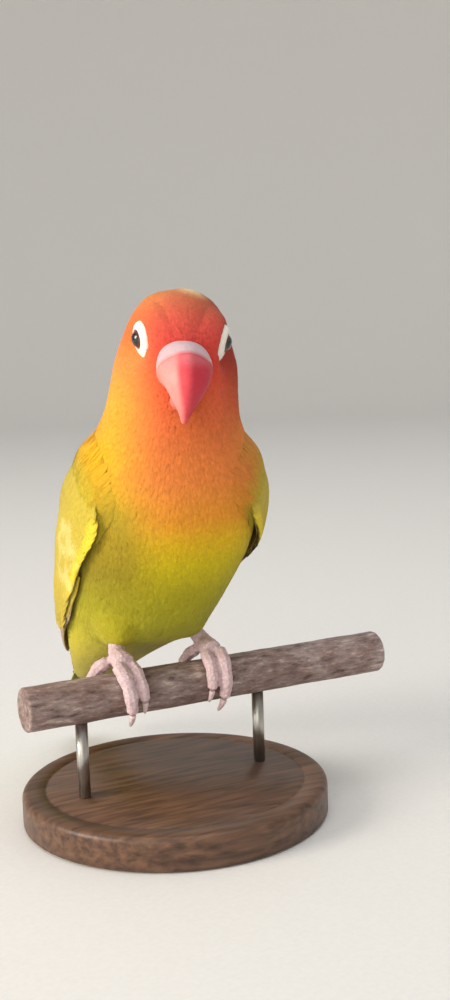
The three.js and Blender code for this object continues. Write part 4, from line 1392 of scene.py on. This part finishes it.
def eye_ball(side):
    """One eye: a ball with a bulging cornea, its pupil and iris marked by the distance from its axis."""
    form = bmesh.new()
    matrix = Matrix.Scale(MM, 4) @ EYE_FRAMES[side]
    bmesh.ops.create_uvsphere(form, u_segments=48, v_segments=32, radius=EYE_RADIUS, matrix=matrix)
    mesh = to_mesh(f"eye_{side}_ball", form)
    aside, out = in_eye_frame(points_of(mesh), side)
    cornea = ease((out / EYE_RADIUS - CORNEA_START) / (1 - CORNEA_START)) * CORNEA_BULGE
    move_points(mesh, points_of(mesh) + cornea[:, None] * np.array(EYE_FRAMES[side])[:3, 2])
    iris, pupil, rim = tones("#54332c", "#0d0909", "#38211d")
    tone = mix(pupil, iris, ease((aside - PUPIL_RADIUS) / 0.25)[:, None])
    set_colours(mesh, "iris", mix(tone, rim, ease((aside - IRIS_RADIUS) / 0.3)[:, None]))
    return mesh


def eye_ring(side, sign):
    """The bare ring of lids round one eye, drawn out a little to a point."""
    line = through(RING_PROFILE + RING_PROFILE[:1])
    form = spun_form(line(np.linspace(0, 1, RING_ROWS + 1)[:-1]), RING_STEPS, closed=True, merge=1e-5)
    for vert in form.verts:
        radius = math.hypot(vert.co.x, vert.co.y)
        angle = math.atan2(vert.co.y * sign, vert.co.x)
        point = max(0, math.cos(angle - RING_POINT_ANGLE)) ** 5 * RING_POINT
        point *= min(1, max(0, radius - RING_POINT_START))
        crease = CREASE * noise.noise(Vector((math.cos(angle) * 5, math.sin(angle) * 5, radius * 4)))
        vert.co.x *= (1 + point) * RING_LENGTHEN
        vert.co.y *= 1 + point
        vert.co.z += crease
    bmesh.ops.transform(form, matrix=Matrix.Scale(MM, 4) @ EYE_FRAMES[side], verts=form.verts)
    bmesh.ops.recalc_face_normals(form, faces=form.faces)
    mesh = to_mesh(f"eye_ring_{side}_skin", form)
    aside = in_eye_frame(points_of(mesh), side)[0]
    lid, white = tones("#a87d72", "#f6f0e4")
    set_colours(mesh, "bare", mix(lid, white, ease((aside - 2.05) / 0.45)[:, None]))
    return mesh


wet_eye = marked_finish(
    "eye_wet_cornea", "iris", 0.5, 0.2, 0.01, 0.1, Roughness=0.15, Coat_Weight=0.6, Coat_Roughness=0.03,
    Specular_IOR_Level=0.4,
)
for side, sign in SIDES.items():
    finish_piece(f"eye_{side}_ball", eye_ball(side), wet_eye, [f"eye_{side}"])
    mesh = eye_ring(side, sign)
    finish_piece(mesh.name, mesh, bare_skin, [f"eye_ring_{side}"])

# %% [markdown]
# ## Feet and claws
#
# Shank and toes are one scaly skin, pinkish white, with small raised plates and darker furrows. The
# solids of each foot are grown until they join and remeshed. The plates are cells about 1 mm across,
# pressed into the mesh itself. The claws are tapered horn.

# %% Feet
TOES = ("outer_front", "inner_front", "outer_rear", "inner_rear")
FOOT_GROW, FOOT_SHRINK = 0.3, 0.12
PLATE_SIZE, FURROW = 1.0, 0.12


def foot_mesh(side):
    """The scaly skin of one foot, and the CAD nodes that it stands for."""
    nodes = [f"shank_{side}"] + [f"toe_{side}_{toe}" for toe in TOES]
    mesh = even_mesh(solid_copies(nodes, grow=FOOT_GROW), 0.22, 4)
    points, normals = points_of(mesh), normals_of(mesh)
    cells = [noise.voronoi(Vector(p) / PLATE_SIZE)[0] for p in points]
    furrow = 1 - ease(np.array([d[1] - d[0] for d in cells]) / 0.3)
    move_points(mesh, points - normals * (FOOT_SHRINK + furrow * FURROW)[:, None])
    set_colours(mesh, "scales", mix(*tones("#dcc2c6", "#bf9fa2"), (furrow * 0.6)[:, None]))
    return mesh, nodes


def claw_mesh(claws):
    mesh = even_mesh(solid_copies(claws, grow=0.1), 0.13, 4)
    soft = np.array([0.5 + noise.noise(Vector(p) * 0.8) for p in points_of(mesh)])
    set_colours(mesh, "scales", mix(*tones("#f4e0df", "#d9bdbd"), np.clip(soft, 0, 1)[:, None]))
    return mesh


scaly_skin = marked_finish(
    "foot_scaly_skin", "scales", 0.7, 0.06, 0.1, 0.3, Roughness=0.5, Subsurface_Weight=0.15,
    Subsurface_Radius=(0.8, 0.35, 0.25), Subsurface_Scale=0.8 * MM,
)
claw_horn = marked_finish(
    "claw_horn_pale_keratin", "scales", 0.8, 0.12, 0.05, 0.2, Roughness=0.38, Coat_Weight=0.15,
    Coat_Roughness=0.3,
)
for side in SIDES:
    mesh, nodes = foot_mesh(side)
    finish_piece(f"foot_{side}_skin", mesh, scaly_skin, nodes)
    claws = [f"claw_{side}_{toe}" for toe in TOES]
    finish_piece(f"claws_{side}_horn", claw_mesh(claws), claw_horn, claws)

# %% [markdown]
# ## Perch
#
# The perch is a cut branch with weathered greyish bark: long shallow furrows along the grain and
# sawn, slightly eased ends. A finely divided cylinder is pressed inwards by a noise that is stretched
# along the branch, so nothing stands out past the solid.

# %% Perch
PERCH_RADIUS, PERCH_HEIGHT, PERCH_ENDS = 5.5, 32.0, (-38.0, 60.0)
PERCH_SEGMENTS, PERCH_CUTS, PERCH_END_RINGS = 120, 220, 5
BARK_DEPTH = 0.32  # the deepest furrow, in mm


def perch_mesh():
    form = bmesh.new()
    length, middle = PERCH_ENDS[1] - PERCH_ENDS[0], sum(PERCH_ENDS) / 2
    bmesh.ops.create_cone(
        form, cap_ends=True, segments=PERCH_SEGMENTS, radius1=PERCH_RADIUS, radius2=PERCH_RADIUS,
        depth=length,
    )
    rims = [e for e in form.edges if abs(e.verts[0].co.z - e.verts[1].co.z) < 1e-6]
    bmesh.ops.bevel(
        form, geom=rims, offset=0.5, offset_type="OFFSET", segments=3, profile=0.5,
        affect="EDGES", material=-1,
    )
    for face in [f for f in form.faces if len(f.verts) > 8]:
        for _ in range(PERCH_END_RINGS):
            bmesh.ops.inset_region(form, faces=[face], thickness=0.85, depth=0)
    longest = [e for e in form.edges if abs(e.verts[0].co.z - e.verts[1].co.z) > length / 2]
    bmesh.ops.subdivide_edges(form, edges=longest, cuts=PERCH_CUTS, use_grid_fill=True)
    for vert in form.verts:
        x, y, z = vert.co
        radius = math.hypot(x, y)
        place = Vector((x * 0.75, y * 0.75, z * 0.13))
        rough = 0.5 + 0.5 * noise.fractal(place, 0.9, 2.2, 4)
        knots = 0.5 + 0.5 * noise.noise(Vector((x * 0.3, y * 0.3, z * 0.09 + 7)))
        press = BARK_DEPTH * min(1, max(0, 0.75 * rough + 0.35 * knots)) * min(1, radius / PERCH_RADIUS)
        share = 1 - press / max(radius, 1e-6) if radius > PERCH_RADIUS * 0.8 else 1
        vert.co = (x * share, y * share, z)
    turn = Matrix.Rotation(math.pi / 2, 4, "Y")
    shift = Matrix.Translation((middle, 0, PERCH_HEIGHT))
    bmesh.ops.transform(form, matrix=Matrix.Scale(MM, 4) @ shift @ turn, verts=form.verts)
    bmesh.ops.recalc_face_normals(form, faces=form.faces)
    return to_mesh("perch_bark", form)


bark = grained_finish(
    "branch_weathered_bark", (0.3, 1, 1), {"Scale": 1 / (1.3 * MM), "Detail": 6.0, "Roughness": 0.7},
    [(0.3, "#54443f"), (0.66, "#d2bfb8"), (0.44, "#8f7d78"), (0.56, "#a8958f")],
    relief=(0.6, 0.3), patches=(7, [(0.35, "#d8cac6"), (0.65, "#ffffff")]), Roughness=0.8,
)
finish_piece("perch_bark", perch_mesh(), bark, ["perch"])

# %% [markdown]
# ## Display stand
#
# The base is a disc of dark hardwood turned on a lathe, and the rods are drawn steel, brushed
# lengthwise. Each is a profile spun round its axis, which is how a lathe makes it.

# %% Stand
BASE_RADIUS, BASE_HEIGHT, BASE_EDGE, BASE_FOOT = 38.0, 8.0, 1.6, 0.4
BASE_GROOVE = ((0.86, 0), (0.855, 0.25), (0.84, 0.25), (0.835, 0), (0, 0))  # share of the radius, depth
ROD_RADIUS, ROD_OFFSET, ROD_GAP, ROD_BITE = 1.5, 24.0, 0.3, 0.05


def turned_mesh(name, profile, steps, aside=0.0):
    """A profile of (radius, height) in mm, spun round an upright axis that stands some mm aside."""
    form = spun_form([(radius * MM, height * MM) for radius, height in profile], steps)
    bmesh.ops.translate(form, verts=form.verts, vec=(aside * MM, 0, 0))
    return to_mesh(name, form)


def base_profile(steps=6):
    """A disc with an eased foot, a rounded rim and a shallow groove on top."""
    points = [(0, 0), (BASE_RADIUS - BASE_FOOT, 0), (BASE_RADIUS, BASE_FOOT)]
    for step in range(steps + 1):
        angle = math.pi / 2 * step / steps
        points.append((
            BASE_RADIUS - BASE_EDGE + BASE_EDGE * math.cos(angle),
            BASE_HEIGHT - BASE_EDGE + BASE_EDGE * math.sin(angle),
        ))
    return points + [(BASE_RADIUS * share, BASE_HEIGHT - depth) for share, depth in BASE_GROOVE]


hardwood = grained_finish(
    "walnut_turned_oiled", (0.12, 1, 1), {"Scale": 1 / (1.6 * MM), "Detail": 6.0, "Distortion": 0.4},
    [(0.3, "#3f2a1f"), (0.72, "#7d5a43")], relief=(0.2, 0.1), Roughness=0.42,
)
mesh = turned_mesh("stand_base_turned", base_profile(), 128)
finish_piece(mesh.name, mesh, hardwood, ["stand_base"])

steel = grained_finish(
    "steel_drawn_brushed", (1, 1, 0.05), {"Scale": 1 / (0.25 * MM), "Detail": 3.0},
    [(0.3, "#a9a7a1"), (0.7, "#cbc9c3")], rough=(0.25, 0.45), Metallic=1.0,
)
low, high = BASE_HEIGHT + ROD_GAP, PERCH_HEIGHT - PERCH_RADIUS + ROD_BITE
for side, sign in SIDES.items():
    rod = [(0, low), (ROD_RADIUS, low), (ROD_RADIUS, high), (0, high)]
    mesh = turned_mesh(f"stand_rod_{side}_steel", rod, 40, sign * ROD_OFFSET)
    finish_piece(mesh.name, mesh, steel, [f"stand_rod_{side}"])

# %% Sizes and finish
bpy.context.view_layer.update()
meshes = [o.data for o in bpy.data.objects if o.type == "MESH"]
total = sum(len(mesh.loop_triangles) or len(mesh.polygons) for mesh in meshes)
print("faces in all:", total)
